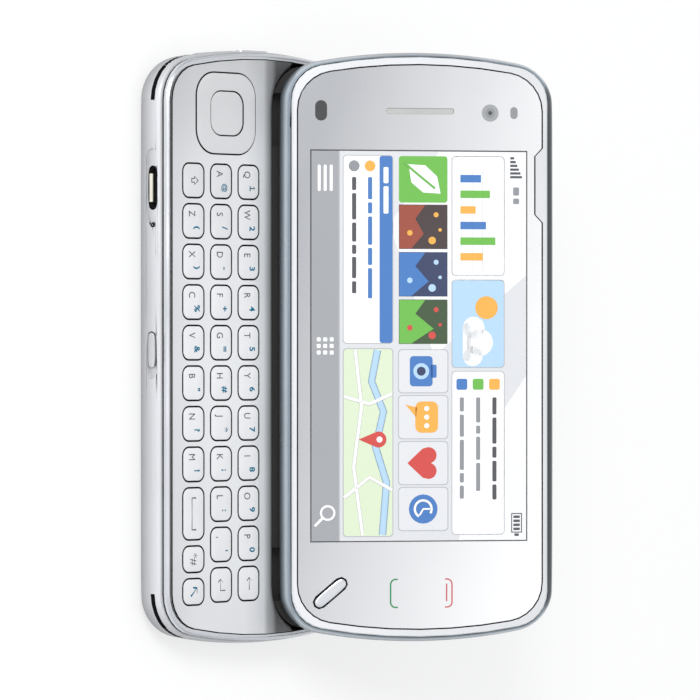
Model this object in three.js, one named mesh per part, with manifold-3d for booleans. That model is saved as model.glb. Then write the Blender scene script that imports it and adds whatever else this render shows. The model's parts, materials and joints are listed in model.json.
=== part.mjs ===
// Slider phone with a full keyboard, its touch-screen lid slid back and tilted up.
// Millimetres. X runs along the keyboard, Y points away from the user and Z points up.
// The origin is the middle of the flat underside, and the pose is the open one.
import * as THREE from "three";
import { mergeVertices } from "three/addons/utils/BufferGeometryUtils.js";
import Module from "manifold-3d";

const wasm = await Module();
wasm.setup();

// Whole phone
const phoneLength = 117.2;
const phoneWidth = 55.3;
const closedHeight = 15.9;
const lidThickness = 6.2;
const lidTilt = THREE.MathUtils.degToRad(35);
const endArcRadius = 110;
const cornerRadius = 9;

// Clearances
const seam = 0.25;
const running = 0.15;
const overrun = 1;

// Place of the lid's lower edge when the phone is open
const openEdgeFromEdge = 31.75;
const openEdgeY = -phoneWidth / 2 + openEdgeFromEdge;
const openEdgeZ = 8;

// Base shell
const shellHeight = 7.15;
const shellWall = 1.5;
const floorThickness = 1.6;
const bottomEdgeRadius = 4;
const insideEdgeRadius = 2;
const rollInset = 1.1;
const rollEndShare = 0.45;
const rollHeight = 2.6;
const halfWidth = phoneWidth / 2;
const halfLength = phoneLength / 2;

// Rim around the base
const rimTop = 8.8;
const rimWidth = 1.1;
const rimRound = 0.35;
const rimShelf = 0.5;
const rimStep = 0.3;

// Keyboard deck
const deckTop = 8.9;
const deckThickness = 1;
const deckGap = 0.2;
const deckInset = running + rimWidth + deckGap;
const deckSkirt = 1.1;
const deckSkirtDepth = 2.6;
const lipRadius = 2.2;
const valleyFromEdge = 30.49;
const valleyWallY = -halfWidth + valleyFromEdge;
const valleyEndWall = 0.6;
const valleyLength = phoneLength - 2 * valleyEndWall;
const deckTipFromEdge = 35.05;
const deckTipY = -halfWidth + deckTipFromEdge;

// Keys
const keyLength = 6.5;
const keyPitch = 7.9;
const keyGap = keyPitch - keyLength;
const keyDepth = 5.3;
const rowPitch = 7.43;
const lowRowFromEdge = 7.85;
const lowRowY = -halfWidth + lowRowFromEdge;
const keysFromEnd = 22.925;
const keysLeft = -halfLength + keysFromEnd;
const spaceLength = 9.95;
const smallKeyLength = 4.95;
const keyCorner = 1.5;
const keyTop = 9.25;
const keyBottom = 6.8;
const keyTravel = 0.25;
const keyEdge = 0.4;
const keyFlange = 0.3;
const keyFlangeHeight = 0.5;
const keyHoleGap = 0.2;

// Direction pad
const padSize = 15.7;
const padCorner = 4.6;
const padFromEnd = 12.85;
const padX = -halfLength + padFromEnd;
const padFromEdge = 16.75;
const padY = -halfWidth + padFromEdge;
const padTop = 9.3;
const selectSize = 8.5;
const selectCorner = 2.6;

// Dome sheet under the keys
const domeClearance = 0.1;
const domeTop = keyBottom - keyTravel - domeClearance;
const domeThickness = 0.45;
const domeFromLeftEnd = 5.5;
const domeFromRightEnd = 7.3;
const domeFrontY = lowRowY - keyDepth / 2 - keyFlange;
const domeDepth = 23.9;
const domeBackY = domeFrontY + domeDepth;
const domeCorner = 5;

// Hinge plate, its wells and its ears
const plateTop = 7.4;
const plateThickness = 1;
const plateGap = 0.3;
const plateInset = shellWall + plateGap;
const wellFloor = 4.5;
const wellWall = 0.6;
const wellRoom = 2.75;
const hingeGap = 0.3;

// Arms and their pivots
const armWidth = 2.2;
const earThickness = 1;
const pinRadius = 0.5;
const eyeRadius = 0.95;
const armHalfHeight = 0.8;
const mainArmFromEnd = 10.95;
const armSpacing = 5.1;
const mainArmX = halfLength - mainArmFromEnd;
const guideArmX = mainArmX - armSpacing;
const mainPivotFromBack = 4.25;
const mainPivotY = halfWidth - mainPivotFromBack;
const mainPivotZ = 7.8;
const mainLidDrop = 1.2;
const guidePivotFromBack = 3.45;
const guidePivotY = halfWidth - guidePivotFromBack;
const guidePivotZ = 6;
const guideLidDrop = 2.4;
const openPivotSlack = 0.1;
const earRadius = 1;
const guideEarRadius = 1.15;

// Board, battery and battery cover
const boardInset = 2.4;
const boardBottom = 2.4;
const boardThickness = 0.8;
const bossRadius = 1.4;
const bossFromEnd = 25.6;
const bossX = halfLength - bossFromEnd;
const bossFromSide = 6.65;
const bossY = halfWidth - bossFromSide;
const shieldLength = 21;
const shieldWidth = 22;
const shieldHeight = 2.2;
const shieldCorner = 1.5;
const shieldFromEnd = 16.1;
const shieldY = -11;
const batteryEndRoom = 30.6;
const batteryLength = phoneLength - 2 * batteryEndRoom;
const batterySideRoom = 10.65;
const batteryWidth = phoneWidth - 2 * batterySideRoom;
const batteryHeight = 4.8;
const batteryCorner = 1.5;
const coverFromLeft = 29.1;
const coverFromRight = 7.1;
const coverLength = phoneLength - coverFromLeft - coverFromRight;
const coverFromSide = 7.15;
const coverWidth = phoneWidth - 2 * coverFromSide;
const coverCorner = 4;
const coverThickness = 0.85;
const coverCentreX = (coverFromLeft - coverFromRight) / 2;

// Camera and its sliding lens cover
const cameraFromEnd = 17.2;
const cameraX = -halfLength + cameraFromEnd;
const cameraY = -8;
const cameraSize = 8.4;
const cameraBottom = 1.9;
const cameraHeight = 3.9;
const cameraCorner = 0.4;
const lensRadius = 2.4;
const lensBottom = 1.15;
const lensCoverWidth = 11;
const lensCoverLength = 14.4;
const lensCoverFlange = 0.6;
const lensCoverBottom = 0.12;
const lensCoverThickness = 0.58;
const lensCoverTravel = 12;

// User-side wall: socket, charging light and lock slider
const socketFromEnd = 27.7;
const socketX = -halfLength + socketFromEnd;
const socketZ = 5.55;
const socketLength = 8.75;
const socketHeight = 2.4;
const socketWall = 0.25;
const socketDepth = 3.8;
const socketTongue = 0.6;
const scoopLength = 15.4;
const scoopHeight = 3;
const scoopDepth = 0.35;
const lightFromSocket = 7.2;
const lightX = socketX + lightFromSocket;
const lightZ = 5.8;
const lightRadius = 0.5;
const lockX = 0.6;
const lockZ = 5.4;
const lockLength = 6.9;
const lockHeight = 1.9;
const lockRecess = 0.75;
const lockTravel = 2;
const lockStem = 1.1;
const lockPlate = 0.3;

// Other openings of the walls
const jackY = -16;
const jackZ = 3.8;
const jackBore = 1.75;
const jackWall = 0.35;
const jackDepth = 10;
const slotHeight = 0.9;
const slotDepth = 1;
const slotZ = 5.25;
const slotStart = THREE.MathUtils.degToRad(39);
const slotEnd = THREE.MathUtils.degToRad(89);
const sideKeyZ = 4.8;
const sideKeyHeight = 2;
const sideKeyProud = 0.1;
const sideKeyFlange = 0.45;
const sideKeyFlangeDepth = 0.5;
const powerKeyLength = 8;
const volumeKeyLength = 16;
const volumeKeyFromEnd = 34.6;
const volumeKeyX = -halfLength + volumeKeyFromEnd;
const cameraKeyLength = 7;
const cameraKeyFromEnd = 28.6;
const cameraKeyX = halfLength - cameraKeyFromEnd;

// Lid
const lidFloor = 1.5;
const lidBandTop = 5.6;
const lidBandInset = 1.35;
const lidEndShare = 0.62;
const lidWallInset = 2.9;
const lidShoulder = 4.4;
const lipInset = 1.65;
const bezelInset = 1.85;
const bezelRound = 0.35;
const bezelBottom = 4.55;
const bezelFlange = 2.2;
const windowInset = 3.1;
const windowEndInset = 2.8;
const windowThickness = 0.9;
const windowCorner = 7.6;
const notchFromEnd = 26.5;
const notchCentreX = -halfLength + notchFromEnd;
const notchLength = 14.8;
const notchSlant = 1.6;
const notchDepth = 1.5;
const displayEndRoom = 18.6;
const displayLength = phoneLength - 2 * displayEndRoom;
const displaySideRoom = 4.65;
const displayWidth = phoneWidth - 2 * displaySideRoom;
const displayThickness = 1.7;
const displayCorner = 0.4;
const displayRoom = 0.5;
const displayRoomCorner = 1.7;
const displayShift = 0.25;
const displayCentreU = halfWidth - displayShift;
const displayBottom = 3.1;
const earpieceShift = 0.05;
const earpieceU = halfWidth - earpieceShift;
const earpieceFromEnd = 11.9;
const earpieceX = -halfLength + earpieceFromEnd;
const earpieceLength = 13.7;
const earpieceWidth = 1.15;
const earpieceCorner = 0.47;
const earpieceRoomLength = 4.6;
const earpieceRoomWidth = 27.4;
const wireSlotFromEnd = 14.2;
const wireSlotLength = 3;
const wireSlotWidth = 15.3;
const wireSlotCorner = 0.4;
const menuKeyU = 9.55;
const menuKeyFromEnd = 10;
const menuKeyX = halfLength - menuKeyFromEnd;
const menuKeyLength = 8.1;
const menuKeyWidth = 2.5;
const menuKeyProud = 0.3;
const menuKeyAngle = THREE.MathUtils.degToRad(40);
const lidPlateEndGap = 6.6;
const lidPlateLength = phoneLength - 2 * lidPlateEndGap;
const lidPlateWidth = 13;
const lidPlateThickness = 0.6;
const lidPlateCorner = 2;

// Smoothness: steps along each kind of curve
const endSteps = 3;
const cornerSteps = 6;
const edgeSteps = 5;
const insideSteps = 3;
const rollSteps = 4;
const roundSteps = 2;

const paint = {
  shell: { color: 0xd9dbde, roughness: 0.35, metalness: 0 },
  deck: { color: 0xe6e8ea, roughness: 0.4, metalness: 0.1 },
  key: { color: 0xedeff0, roughness: 0.35, metalness: 0 },
  chrome: { color: 0xc8ccd1, roughness: 0.15, metalness: 1 },
  steel: { color: 0x9aa3ad, roughness: 0.3, metalness: 1 },
  window: { color: 0xf2f3f4, roughness: 0.08, metalness: 0 },
  board: { color: 0x2f6b4a, roughness: 0.6, metalness: 0 },
  dark: { color: 0x25272a, roughness: 0.6, metalness: 0 },
};

const phone = new THREE.Group();
const lid = new THREE.Group();
lid.position.set(0, openEdgeY, openEdgeZ);
lid.rotation.x = lidTilt;
phone.add(lid);

const axisPlaces = {
  x: (at, p) => [at, p.x, p.y],
  y: (at, p) => [p.y, at, p.x],
  z: (at, p) => [p.x, p.y, at],
};

// Skins outlines of equal point count into one closed body along an axis.
function loft(sections, axis = "z") {
  const count = sections[0].outline.length;
  const place = axisPlaces[axis];
  const positions = sections.flatMap(({ at, outline }) => outline.flatMap((p) => place(at, p)));
  const index = [];
  for (let level = 0; level + 1 < sections.length; level++) {
    for (let i = 0; i < count; i++) {
      const a = level * count + i;
      const b = level * count + ((i + 1) % count);
      index.push(a, b, b + count, a, b + count, a + count);
    }
  }
  const top = (sections.length - 1) * count;
  for (const [a, b, c] of THREE.ShapeUtils.triangulateShape(sections[0].outline, [])) {
    index.push(c, b, a);
  }
  for (const [a, b, c] of THREE.ShapeUtils.triangulateShape(sections.at(-1).outline, [])) {
    index.push(top + a, top + b, top + c);
  }
  const geometry = new THREE.BufferGeometry();
  geometry.setAttribute("position", new THREE.Float32BufferAttribute(positions, 3));
  geometry.setIndex(index);
  return solid(geometry);
}

function solid(geometry) {
  const bare = geometry.clone();
  bare.deleteAttribute("normal");
  bare.deleteAttribute("uv");
  const merged = mergeVertices(bare);
  const vertProperties = new Float32Array(merged.attributes.position.array);
  const triVerts = new Uint32Array(merged.index.array);
  return new wasm.Manifold(new wasm.Mesh({ numProp: 3, vertProperties, triVerts }));
}

function prism(outline, from, to, axis = "z") {
  return loft([{ at: from, outline }, { at: to, outline }], axis);
}

function block(x0, x1, y0, y1, z0, z1) {
  const box = new THREE.BoxGeometry(x1 - x0, y1 - y0, z1 - z0);
  return solid(box.translate((x0 + x1) / 2, (y0 + y1) / 2, (z0 + z1) / 2));
}

function joined(solids) {
  return solids.reduce((whole, next) => whole.add(next));
}

function without(body, cutters) {
  return cutters.reduce((left, cutter) => left.subtract(cutter), body);
}

// Adds a finished solid to a group as its own named piece.
function piece(name, body, finish, group = phone) {
  const { vertProperties, triVerts } = body.getMesh();
  const geometry = new THREE.BufferGeometry();
  geometry.setAttribute("position", new THREE.Float32BufferAttribute(vertProperties, 3));
  geometry.setIndex([...triVerts]);
  geometry.computeVertexNormals();
  const mesh = new THREE.Mesh(geometry, new THREE.MeshStandardMaterial(finish));
  mesh.name = name;
  group.add(mesh);
  return mesh;
}

function arc(centreX, centreY, radius, from, to, steps) {
  const points = [];
  for (let i = 0; i <= steps; i++) {
    const angle = from + ((to - from) * i) / steps;
    points.push(new THREE.Vector2(centreX + radius * Math.cos(angle), centreY + radius * Math.sin(angle)));
  }
  return points;
}

// Centre and blend angle of the corner arc that joins a bulged end to a straight side.
function cornerArc(length, width, corner) {
  const endCentre = length / 2 - endArcRadius;
  const y = width / 2 - corner;
  const x = endCentre + Math.sqrt((endArcRadius - corner) ** 2 - y ** 2);
  return { endCentre, x, y, blend: Math.atan2(y, x - endCentre) };
}

// Plan outline with bulged ends, straight sides and round corners, moved inward by an inset.
function planOutline(length, width, corner, inset = 0, centreY = 0) {
  const { endCentre, x, y, blend } = cornerArc(length, width, corner);
  const end = arc(endCentre, 0, endArcRadius - inset, 0, blend, endSteps).slice(0, -1);
  const turn = arc(x, y, corner - inset, blend, Math.PI / 2, cornerSteps);
  const quarter = [...end, ...turn];
  const left = quarter.map((p) => new THREE.Vector2(-p.x, p.y)).reverse();
  const back = quarter.slice(1).map((p) => new THREE.Vector2(-p.x, -p.y));
  const right = quarter.slice(1).map((p) => new THREE.Vector2(p.x, -p.y)).reverse();
  return [...quarter, ...left, ...back, ...right].map((p) => new THREE.Vector2(p.x, p.y + centreY));
}

function baseOutline(inset) {
  return planOutline(phoneLength, phoneWidth, cornerRadius, inset);
}

// Outline of the base's upper part, which leans in by roll at the user's side and less at the ends.
function rolledOutline(inset, roll = rollInset) {
  const length = phoneLength - 2 * roll * rollEndShare;
  return planOutline(length, phoneWidth - roll, cornerRadius - roll / 2, inset, roll / 2);
}

// Outline of the lid's shell, moved inward by an inset at its sides and by a share of it at its ends.
function lidOutline(inset, endShare = 1) {
  const length = phoneLength + 2 * inset * (1 - endShare);
  return planOutline(length, phoneWidth, cornerRadius, inset, halfWidth);
}

function valleyOutline(grow) {
  return planOutline(valleyLength, phoneWidth, cornerRadius, -grow, valleyWallY + halfWidth);
}

function roundedBox(length, width, corner, centreX = 0, centreY = 0, steps = roundSteps) {
  const x = length / 2 - corner;
  const y = width / 2 - corner;
  const turns = [[x, y, 0], [-x, y, 1], [-x, -y, 2], [x, -y, 3]];
  return turns.flatMap(([cx, cy, turn]) => {
    const from = (turn * Math.PI) / 2;
    return arc(centreX + cx, centreY + cy, corner, from, from + Math.PI / 2, steps);
  });
}

function circle(radius, centreX, centreY, sides = 16) {
  return arc(centreX, centreY, radius, 0, 2 * Math.PI, sides).slice(0, -1);
}

// Capsule outline whose long side follows the second axis of its plane.
function pill(length, width, centreAlong, centreAcross, steps = 4) {
  const reach = (length - width) / 2;
  return [
    ...arc(centreAcross, centreAlong + reach, width / 2, 0, Math.PI, steps),
    ...arc(centreAcross, centreAlong - reach, width / 2, Math.PI, 2 * Math.PI, steps),
  ];
}

// Places of the keys, row by row from the user's side, worked out from their lengths and gap.
function keyPlaces() {
  const low = ["shift", ..."zxcvbnm", "space", "symbol", "function"];
  const rows = [low, [..."asdfghjkl", "comma", "enter"], [..."qwertyuiop", "backspace"]];
  const lengths = { space: spaceLength, symbol: smallKeyLength, function: smallKeyLength };
  return rows.flatMap((row, level) => {
    let x = keysLeft;
    return row.map((name) => {
      const length = lengths[name] ?? keyLength;
      const place = { name, length, x: x + length / 2, y: lowRowY + level * rowPitch };
      x += length + keyGap;
      return place;
    });
  });
}

function keySection({ length, x, y }, grow) {
  return roundedBox(length + 2 * grow, keyDepth + 2 * grow, keyCorner + grow, x, y);
}

// A key cap with the flange that keeps it under the deck and a softened top edge.
function keyCap(place) {
  const flangeTop = keyBottom + keyFlangeHeight;
  return loft([
    { at: keyBottom, outline: keySection(place, keyFlange) },
    { at: flangeTop, outline: keySection(place, keyFlange) },
    { at: flangeTop, outline: keySection(place, 0) },
    { at: keyTop - keyEdge / 2, outline: keySection(place, 0) },
    { at: keyTop, outline: keySection(place, -keyEdge) },
  ]);
}

function addKeys() {
  for (const place of keyPlaces()) piece(`key_${place.name}`, keyCap(place), paint.key);
}

function padOutline(size, corner, grow) {
  return roundedBox(size + 2 * grow, size + 2 * grow, corner + grow, padX, padY, 2 * roundSteps);
}

function padBody(size, corner, top) {
  return loft([
    { at: keyBottom, outline: padOutline(size, corner, 0) },
    { at: top - keyEdge / 2, outline: padOutline(size, corner, 0) },
    { at: top, outline: padOutline(size, corner, -keyEdge) },
  ]);
}

function addDirectionPad() {
  const eye = prism(padOutline(selectSize, selectCorner, seam), keyBottom - overrun, padTop + overrun);
  piece("direction_pad", padBody(padSize, padCorner, padTop).subtract(eye), paint.key);
  piece("select_key", padBody(selectSize, selectCorner, keyTop), paint.key);
}

// Levels that round a side into a flat underside.
function roundedLevels(radius, bottom, inset, steps) {
  const levels = [];
  for (let i = 0; i <= steps; i++) {
    const angle = (i / steps) * (Math.PI / 2);
    const at = bottom + radius * (1 - Math.cos(angle));
    levels.push({ at, outline: baseOutline(inset + radius * (1 - Math.sin(angle))) });
  }
  return levels;
}

// Levels of the shell's upper edge, which rolls in towards the rim.
function rolledLevels() {
  const levels = [];
  for (let i = 0; i <= rollSteps; i++) {
    const angle = (i / rollSteps) * (Math.PI / 2);
    const at = shellHeight - rollHeight * (1 - Math.sin(angle));
    levels.push({ at, outline: rolledOutline(0, rollInset * (1 - Math.cos(angle))) });
  }
  return levels;
}

function wallKeySpan(length, along, from, to, grow) {
  const outline = pill(length + 2 * grow, sideKeyHeight + 2 * grow, along, sideKeyZ);
  return prism(outline, from, to, "y");
}

// Recess and opening of the battery, and the stepped slot of the lens cover, seen from below.
function underCuts() {
  const grow = 2 * seam;
  const recess = batteryCoverOutline(seam);
  const bay = roundedBox(batteryLength + grow, batteryWidth + grow, batteryCorner + seam);
  return [
    prism(recess, -overrun, coverThickness + seam),
    prism(bay, -overrun, floorThickness + overrun),
    prism(circle(lensRadius + seam, cameraX, cameraY), -overrun, floorThickness + overrun),
    ...lensCoverSlot(),
  ];
}

function lensCoverSlot() {
  const half = lensCoverWidth / 2 + seam;
  const wide = half + lensCoverFlange;
  const front = cameraY - lensCoverLength / 2 - seam;
  const back = front + lensCoverLength + lensCoverTravel + 2 * seam;
  const roof = lensCoverBottom + lensCoverThickness + seam;
  const lip = lensCoverBottom + lensCoverThickness / 2 - seam / 2;
  return [
    block(cameraX - half, cameraX + half, front, back, -overrun, roof),
    block(cameraX - wide, cameraX + wide, front, back, lip, roof),
  ];
}

// Speaker slots that follow the two user-side corners.
function speakerSlots() {
  const { x, y } = cornerArc(phoneLength, phoneWidth, cornerRadius);
  const outside = arc(x, y, cornerRadius + overrun, slotStart, slotEnd, cornerSteps);
  const inside = arc(x, y, cornerRadius - slotDepth, slotStart, slotEnd, cornerSteps);
  const right = [...inside, ...outside.reverse()].map((p) => new THREE.Vector2(p.x, -p.y));
  const left = right.map((p) => new THREE.Vector2(-p.x, p.y)).reverse();
  return [right, left].map((outline) => prism(outline, slotZ, slotZ + slotHeight));
}

function wallCuts() {
  const front = -halfWidth;
  const socketHole = pill(socketLength, socketHeight, socketX, socketZ);
  const scoop = pill(scoopLength, scoopHeight, socketX, socketZ);
  const lockRoom = lockTravel + 2 * seam;
  const lockMiddle = lockX + lockTravel / 2;
  const lockPocket = pill(lockLength + lockRoom, lockHeight + 2 * seam, lockMiddle, lockZ);
  const lockSlot = pill(2 * lockStem + lockRoom, lockStem + 2 * seam, lockMiddle, lockZ);
  const jack = circle(jackBore, jackY, jackZ);
  const jackRoom = circle(jackBore + jackWall + seam, jackY, jackZ);
  const innerWall = halfWidth - shellWall - overrun;
  const innerEnd = halfLength - shellWall - overrun;
  return [
    prism(socketHole, front - overrun, -innerWall, "y"),
    prism(scoop, front - overrun, front + scoopDepth, "y"),
    prism(circle(lightRadius, lightZ, lightX, 10), front - overrun, -innerWall, "y"),
    prism(lockPocket, front - overrun, front + lockRecess, "y"),
    prism(lockSlot, front - overrun, -innerWall, "y"),
    prism(jack, -halfLength - overrun, -innerEnd, "x"),
    prism(jackRoom, -halfLength + shellWall, -halfLength + shellWall + jackDepth + 2 * seam, "x"),
    powerKeySpan(-halfLength - overrun, -innerEnd, seam),
    wallKeySpan(volumeKeyLength, volumeKeyX, innerWall, halfWidth + overrun, seam),
    wallKeySpan(cameraKeyLength, cameraKeyX, innerWall, halfWidth + overrun, seam),
    ...speakerSlots(),
  ];
}

function boardBosses() {
  const places = [[bossX, bossY], [-bossX, bossY], [bossX, -bossY], [-bossX, -bossY]];
  const top = boardBottom - seam;
  return places.map(([x, y]) => prism(circle(bossRadius, x, y, 10), floorThickness - seam, top));
}

function addBaseShell() {
  const outside = loft([...roundedLevels(bottomEdgeRadius, 0, 0, edgeSteps), ...rolledLevels()]);
  const inside = loft([
    ...roundedLevels(insideEdgeRadius, floorThickness, shellWall, insideSteps),
    { at: shellHeight + overrun, outline: baseOutline(shellWall) },
  ]);
  const tub = joined([outside.subtract(inside), ...boardBosses()]);
  piece("base_shell", without(tub, [...underCuts(), ...wallCuts()]), paint.shell);
}

function addRim() {
  const bottom = shellHeight + seam;
  const outside = loft([
    { at: bottom, outline: rolledOutline(running) },
    { at: rimTop - rimRound, outline: rolledOutline(running) },
    { at: rimTop, outline: rolledOutline(running + rimRound) },
  ]);
  const inner = running + rimWidth;
  const inside = prism(rolledOutline(inner), bottom - overrun, rimTop + overrun);
  const shelf = prism(rolledOutline(inner - rimShelf), rimTop - rimStep, rimTop + overrun);
  piece("base_rim", without(outside, [inside, shelf]), paint.chrome);
}

// Cutter of the hollow behind the keyboard, flared so that the deck's edge rolls over.
function valleyCutter() {
  const sections = [{ at: deckTop - deckSkirtDepth - overrun, outline: valleyOutline(0) }];
  for (let i = 0; i <= edgeSteps; i++) {
    const angle = (i / edgeSteps) * (Math.PI / 2);
    const at = deckTop - lipRadius * (1 - Math.sin(angle));
    sections.push({ at, outline: valleyOutline(lipRadius * (1 - Math.cos(angle))) });
  }
  sections.push({ at: deckTop + overrun, outline: valleyOutline(lipRadius) });
  return loft(sections);
}

function deckHoles() {
  const from = deckTop - deckSkirtDepth - overrun;
  const to = deckTop + overrun;
  const pad = prism(padOutline(padSize, padCorner, seam), from, to);
  return [pad, ...keyPlaces().map((place) => prism(keySection(place, keyHoleGap), from, to))];
}

function addDeck() {
  const bottom = deckTop - deckSkirtDepth;
  const reach = halfLength + overrun;
  const underside = deckTop - deckThickness;
  const hollow = prism(rolledOutline(deckInset + deckSkirt), bottom - overrun, underside);
  const lip = prism(valleyOutline(deckSkirt), bottom - overrun, underside);
  const socketRoom = socketLength / 2 + 2 * seam;
  const cutters = [
    hollow.subtract(lip),
    valleyCutter(),
    block(-reach, reach, deckTipY, phoneWidth, bottom - overrun, deckTop + overrun),
    block(socketX - socketRoom, socketX + socketRoom, -halfWidth, -halfWidth + socketDepth + overrun,
      bottom - overrun, socketZ + socketHeight / 2 + seam),
    ...deckHoles(),
  ];
  piece("keyboard_deck", without(prism(rolledOutline(deckInset), bottom, deckTop), cutters), paint.deck);
}

function addDomeSheet() {
  const length = phoneLength - domeFromLeftEnd - domeFromRightEnd;
  const width = domeBackY - domeFrontY;
  const centreX = (domeFromLeftEnd - domeFromRightEnd) / 2;
  const outline = roundedBox(length, width, domeCorner, centreX, domeFrontY + width / 2);
  piece("dome_sheet", prism(outline, domeTop - domeThickness, domeTop), paint.dark);
}

// Pivot on the lid, as a distance up from its lower edge, that keeps one arm length open and closed.
function lidPivot(pivotY, pivotZ, drop) {
  const openY = openEdgeY + drop * Math.sin(lidTilt) - pivotY;
  const openZ = openEdgeZ - drop * Math.cos(lidTilt) - pivotZ;
  const closedY = -halfWidth - pivotY;
  const closedZ = closedHeight - lidThickness - drop - pivotZ;
  const change = closedY ** 2 + closedZ ** 2 - openY ** 2 - openZ ** 2;
  const u = change / (2 * (openY * Math.cos(lidTilt) + openZ * Math.sin(lidTilt) - closedY));
  const y = openY + u * Math.cos(lidTilt);
  const z = openZ + u * Math.sin(lidTilt);
  return { u, reach: Math.hypot(y, z), angle: Math.atan2(z, y) };
}

// One link with an eye at each end and a pin through both eyes.
function armLink(reach, centreX) {
  const half = armWidth / 2;
  const outline = roundedBox(reach, 2 * armHalfHeight, armHalfHeight / 2, reach / 2, 0);
  const bar = prism(outline, centreX - half, centreX + half, "x");
  const pinHalf = half + seam + earThickness;
  const ends = [0, reach].flatMap((at) => [
    prism(circle(eyeRadius, at, 0, 14), centreX - half, centreX + half, "x"),
    prism(circle(pinRadius, at, 0, 10), centreX - pinHalf, centreX + pinHalf, "x"),
  ]);
  return joined([bar, ...ends]);
}

function addArms(name, pivotY, pivotZ, drop, centreX) {
  const { reach, angle } = lidPivot(pivotY, pivotZ, drop);
  const arms = new THREE.Group();
  arms.position.set(0, pivotY, pivotZ);
  arms.rotation.x = angle;
  phone.add(arms);
  piece(`${name}_left`, armLink(reach, -centreX), paint.steel, arms);
  piece(`${name}_right`, armLink(reach, centreX), paint.steel, arms);
}

// The four ear centres beside a pair of arms on one side of the phone.
function earPlaces(armX) {
  const offset = armWidth / 2 + seam + earThickness / 2;
  return [armX - offset, armX + offset, -armX - offset, -armX + offset];
}

function ear(centreX, outline, bore) {
  const from = centreX - earThickness / 2;
  const to = centreX + earThickness / 2;
  return prism(outline, from, to, "x").subtract(prism(bore, from - overrun, to + overrun, "x"));
}

// Ear standing on the floor of a well, round at its top.
function baseEar(centreX, y, z) {
  const bottom = wellFloor - wellWall / 2;
  const outline = [
    ...arc(y, z, earRadius, 0, Math.PI, 6),
    new THREE.Vector2(y - earRadius, bottom),
    new THREE.Vector2(y + earRadius, bottom),
  ];
  return ear(centreX, outline, circle(pinRadius + running, y, z, 10));
}

// Box over one pair of arms: the outside of their well, or its open-backed hollow when grow is zero.
function wellBox(side, grow, bottom, top, back) {
  const x0 = side * (guideArmX - wellRoom - grow);
  const x1 = side * (mainArmX + wellRoom + grow);
  return block(Math.min(x0, x1), Math.max(x0, x1), valleyWallY, back, bottom, top);
}

function addHingePlate() {
  const bottom = wellFloor - wellWall;
  const plate = prism(baseOutline(plateInset), plateTop - plateThickness, plateTop);
  const wells = [-1, 1].map((side) => wellBox(side, wellWall, bottom, plateTop, halfWidth));
  const hollows = [-1, 1].map((side) => wellBox(side, 0, wellFloor, plateTop + overrun, halfWidth));
  const shell = prism(baseOutline(plateInset), bottom, plateTop);
  const valley = prism(valleyOutline(-hingeGap), bottom - overrun, plateTop + overrun);
  const tray = without(joined([plate, ...wells]).intersect(shell).intersect(valley), hollows);
  const ears = [
    ...earPlaces(mainArmX).map((x) => baseEar(x, mainPivotY, mainPivotZ)),
    ...earPlaces(guideArmX).map((x) => baseEar(x, guidePivotY, guidePivotZ)),
  ];
  piece("hinge_plate", joined([tray, ...ears]), paint.steel);
}

function addBoard() {
  const top = boardBottom + boardThickness;
  const grow = 4 * seam;
  const bay = roundedBox(batteryLength + grow, batteryWidth + grow, batteryCorner);
  const eye = roundedBox(cameraSize + grow, cameraSize + grow, batteryCorner, cameraX, cameraY);
  const shield = roundedBox(shieldLength, shieldWidth, shieldCorner, halfLength - shieldFromEnd, shieldY);
  const sheet = prism(baseOutline(boardInset), boardBottom, top);
  const jackEnd = -halfLength + shellWall + seam;
  const holes = [bay, eye].map((outline) => prism(outline, boardBottom - overrun, top + overrun));
  const parts = [
    without(sheet, holes),
    prism(shield, top - seam, top + shieldHeight),
    prism(circle(jackBore + jackWall, jackY, jackZ), jackEnd, jackEnd + jackDepth, "x"),
  ];
  const bore = prism(circle(jackBore, jackY, jackZ), jackEnd - overrun, jackEnd + jackDepth - jackWall, "x");
  piece("main_board", joined(parts).subtract(bore), paint.board);
}

function batteryCoverOutline(grow) {
  const length = coverLength + 2 * grow;
  const width = coverWidth + 2 * grow;
  return roundedBox(length, width, coverCorner + grow, coverCentreX, 0, 2 * roundSteps);
}

function addBattery() {
  const bottom = coverThickness + seam;
  const pack = roundedBox(batteryLength, batteryWidth, batteryCorner);
  piece("battery", prism(pack, bottom, bottom + batteryHeight), paint.dark);
  piece("battery_cover", prism(batteryCoverOutline(0), 0, coverThickness), paint.shell);
}

function addCamera() {
  const outline = roundedBox(cameraSize, cameraSize, cameraCorner, cameraX, cameraY);
  const body = prism(outline, cameraBottom, cameraBottom + cameraHeight);
  const barrel = prism(circle(lensRadius, cameraX, cameraY), lensBottom, cameraBottom + seam);
  piece("camera_module", body.add(barrel), paint.dark);
}

function addLensCover() {
  const y0 = cameraY - lensCoverLength / 2;
  const y1 = cameraY + lensCoverLength / 2;
  const half = lensCoverWidth / 2;
  const wide = half + lensCoverFlange;
  const top = lensCoverBottom + lensCoverThickness;
  const step = lensCoverBottom + lensCoverThickness / 2 + seam / 2;
  const plate = block(cameraX - half, cameraX + half, y0, y1, lensCoverBottom, top);
  piece("lens_cover", plate.add(block(cameraX - wide, cameraX + wide, y0, y1, step, top)), paint.shell);
}

// Metal socket shell with the tongue that carries its contacts.
function addUsbSocket() {
  const mouth = -halfWidth + scoopDepth + seam;
  const length = socketLength - 2 * seam;
  const height = socketHeight - 2 * seam;
  const shell = prism(pill(length, height, socketX, socketZ), mouth, mouth + socketDepth, "y");
  const grow = 2 * socketWall;
  const hollow = prism(pill(length - grow, height - grow, socketX, socketZ), mouth - overrun,
    mouth + socketDepth - socketWall, "y");
  const tongueHalf = socketLength / 3;
  const tongue = block(socketX - tongueHalf, socketX + tongueHalf, mouth + seam, mouth + socketDepth,
    socketZ - socketTongue / 2, socketZ + socketTongue / 2);
  piece("usb_socket", shell.subtract(hollow).add(tongue), paint.steel);
}

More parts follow.
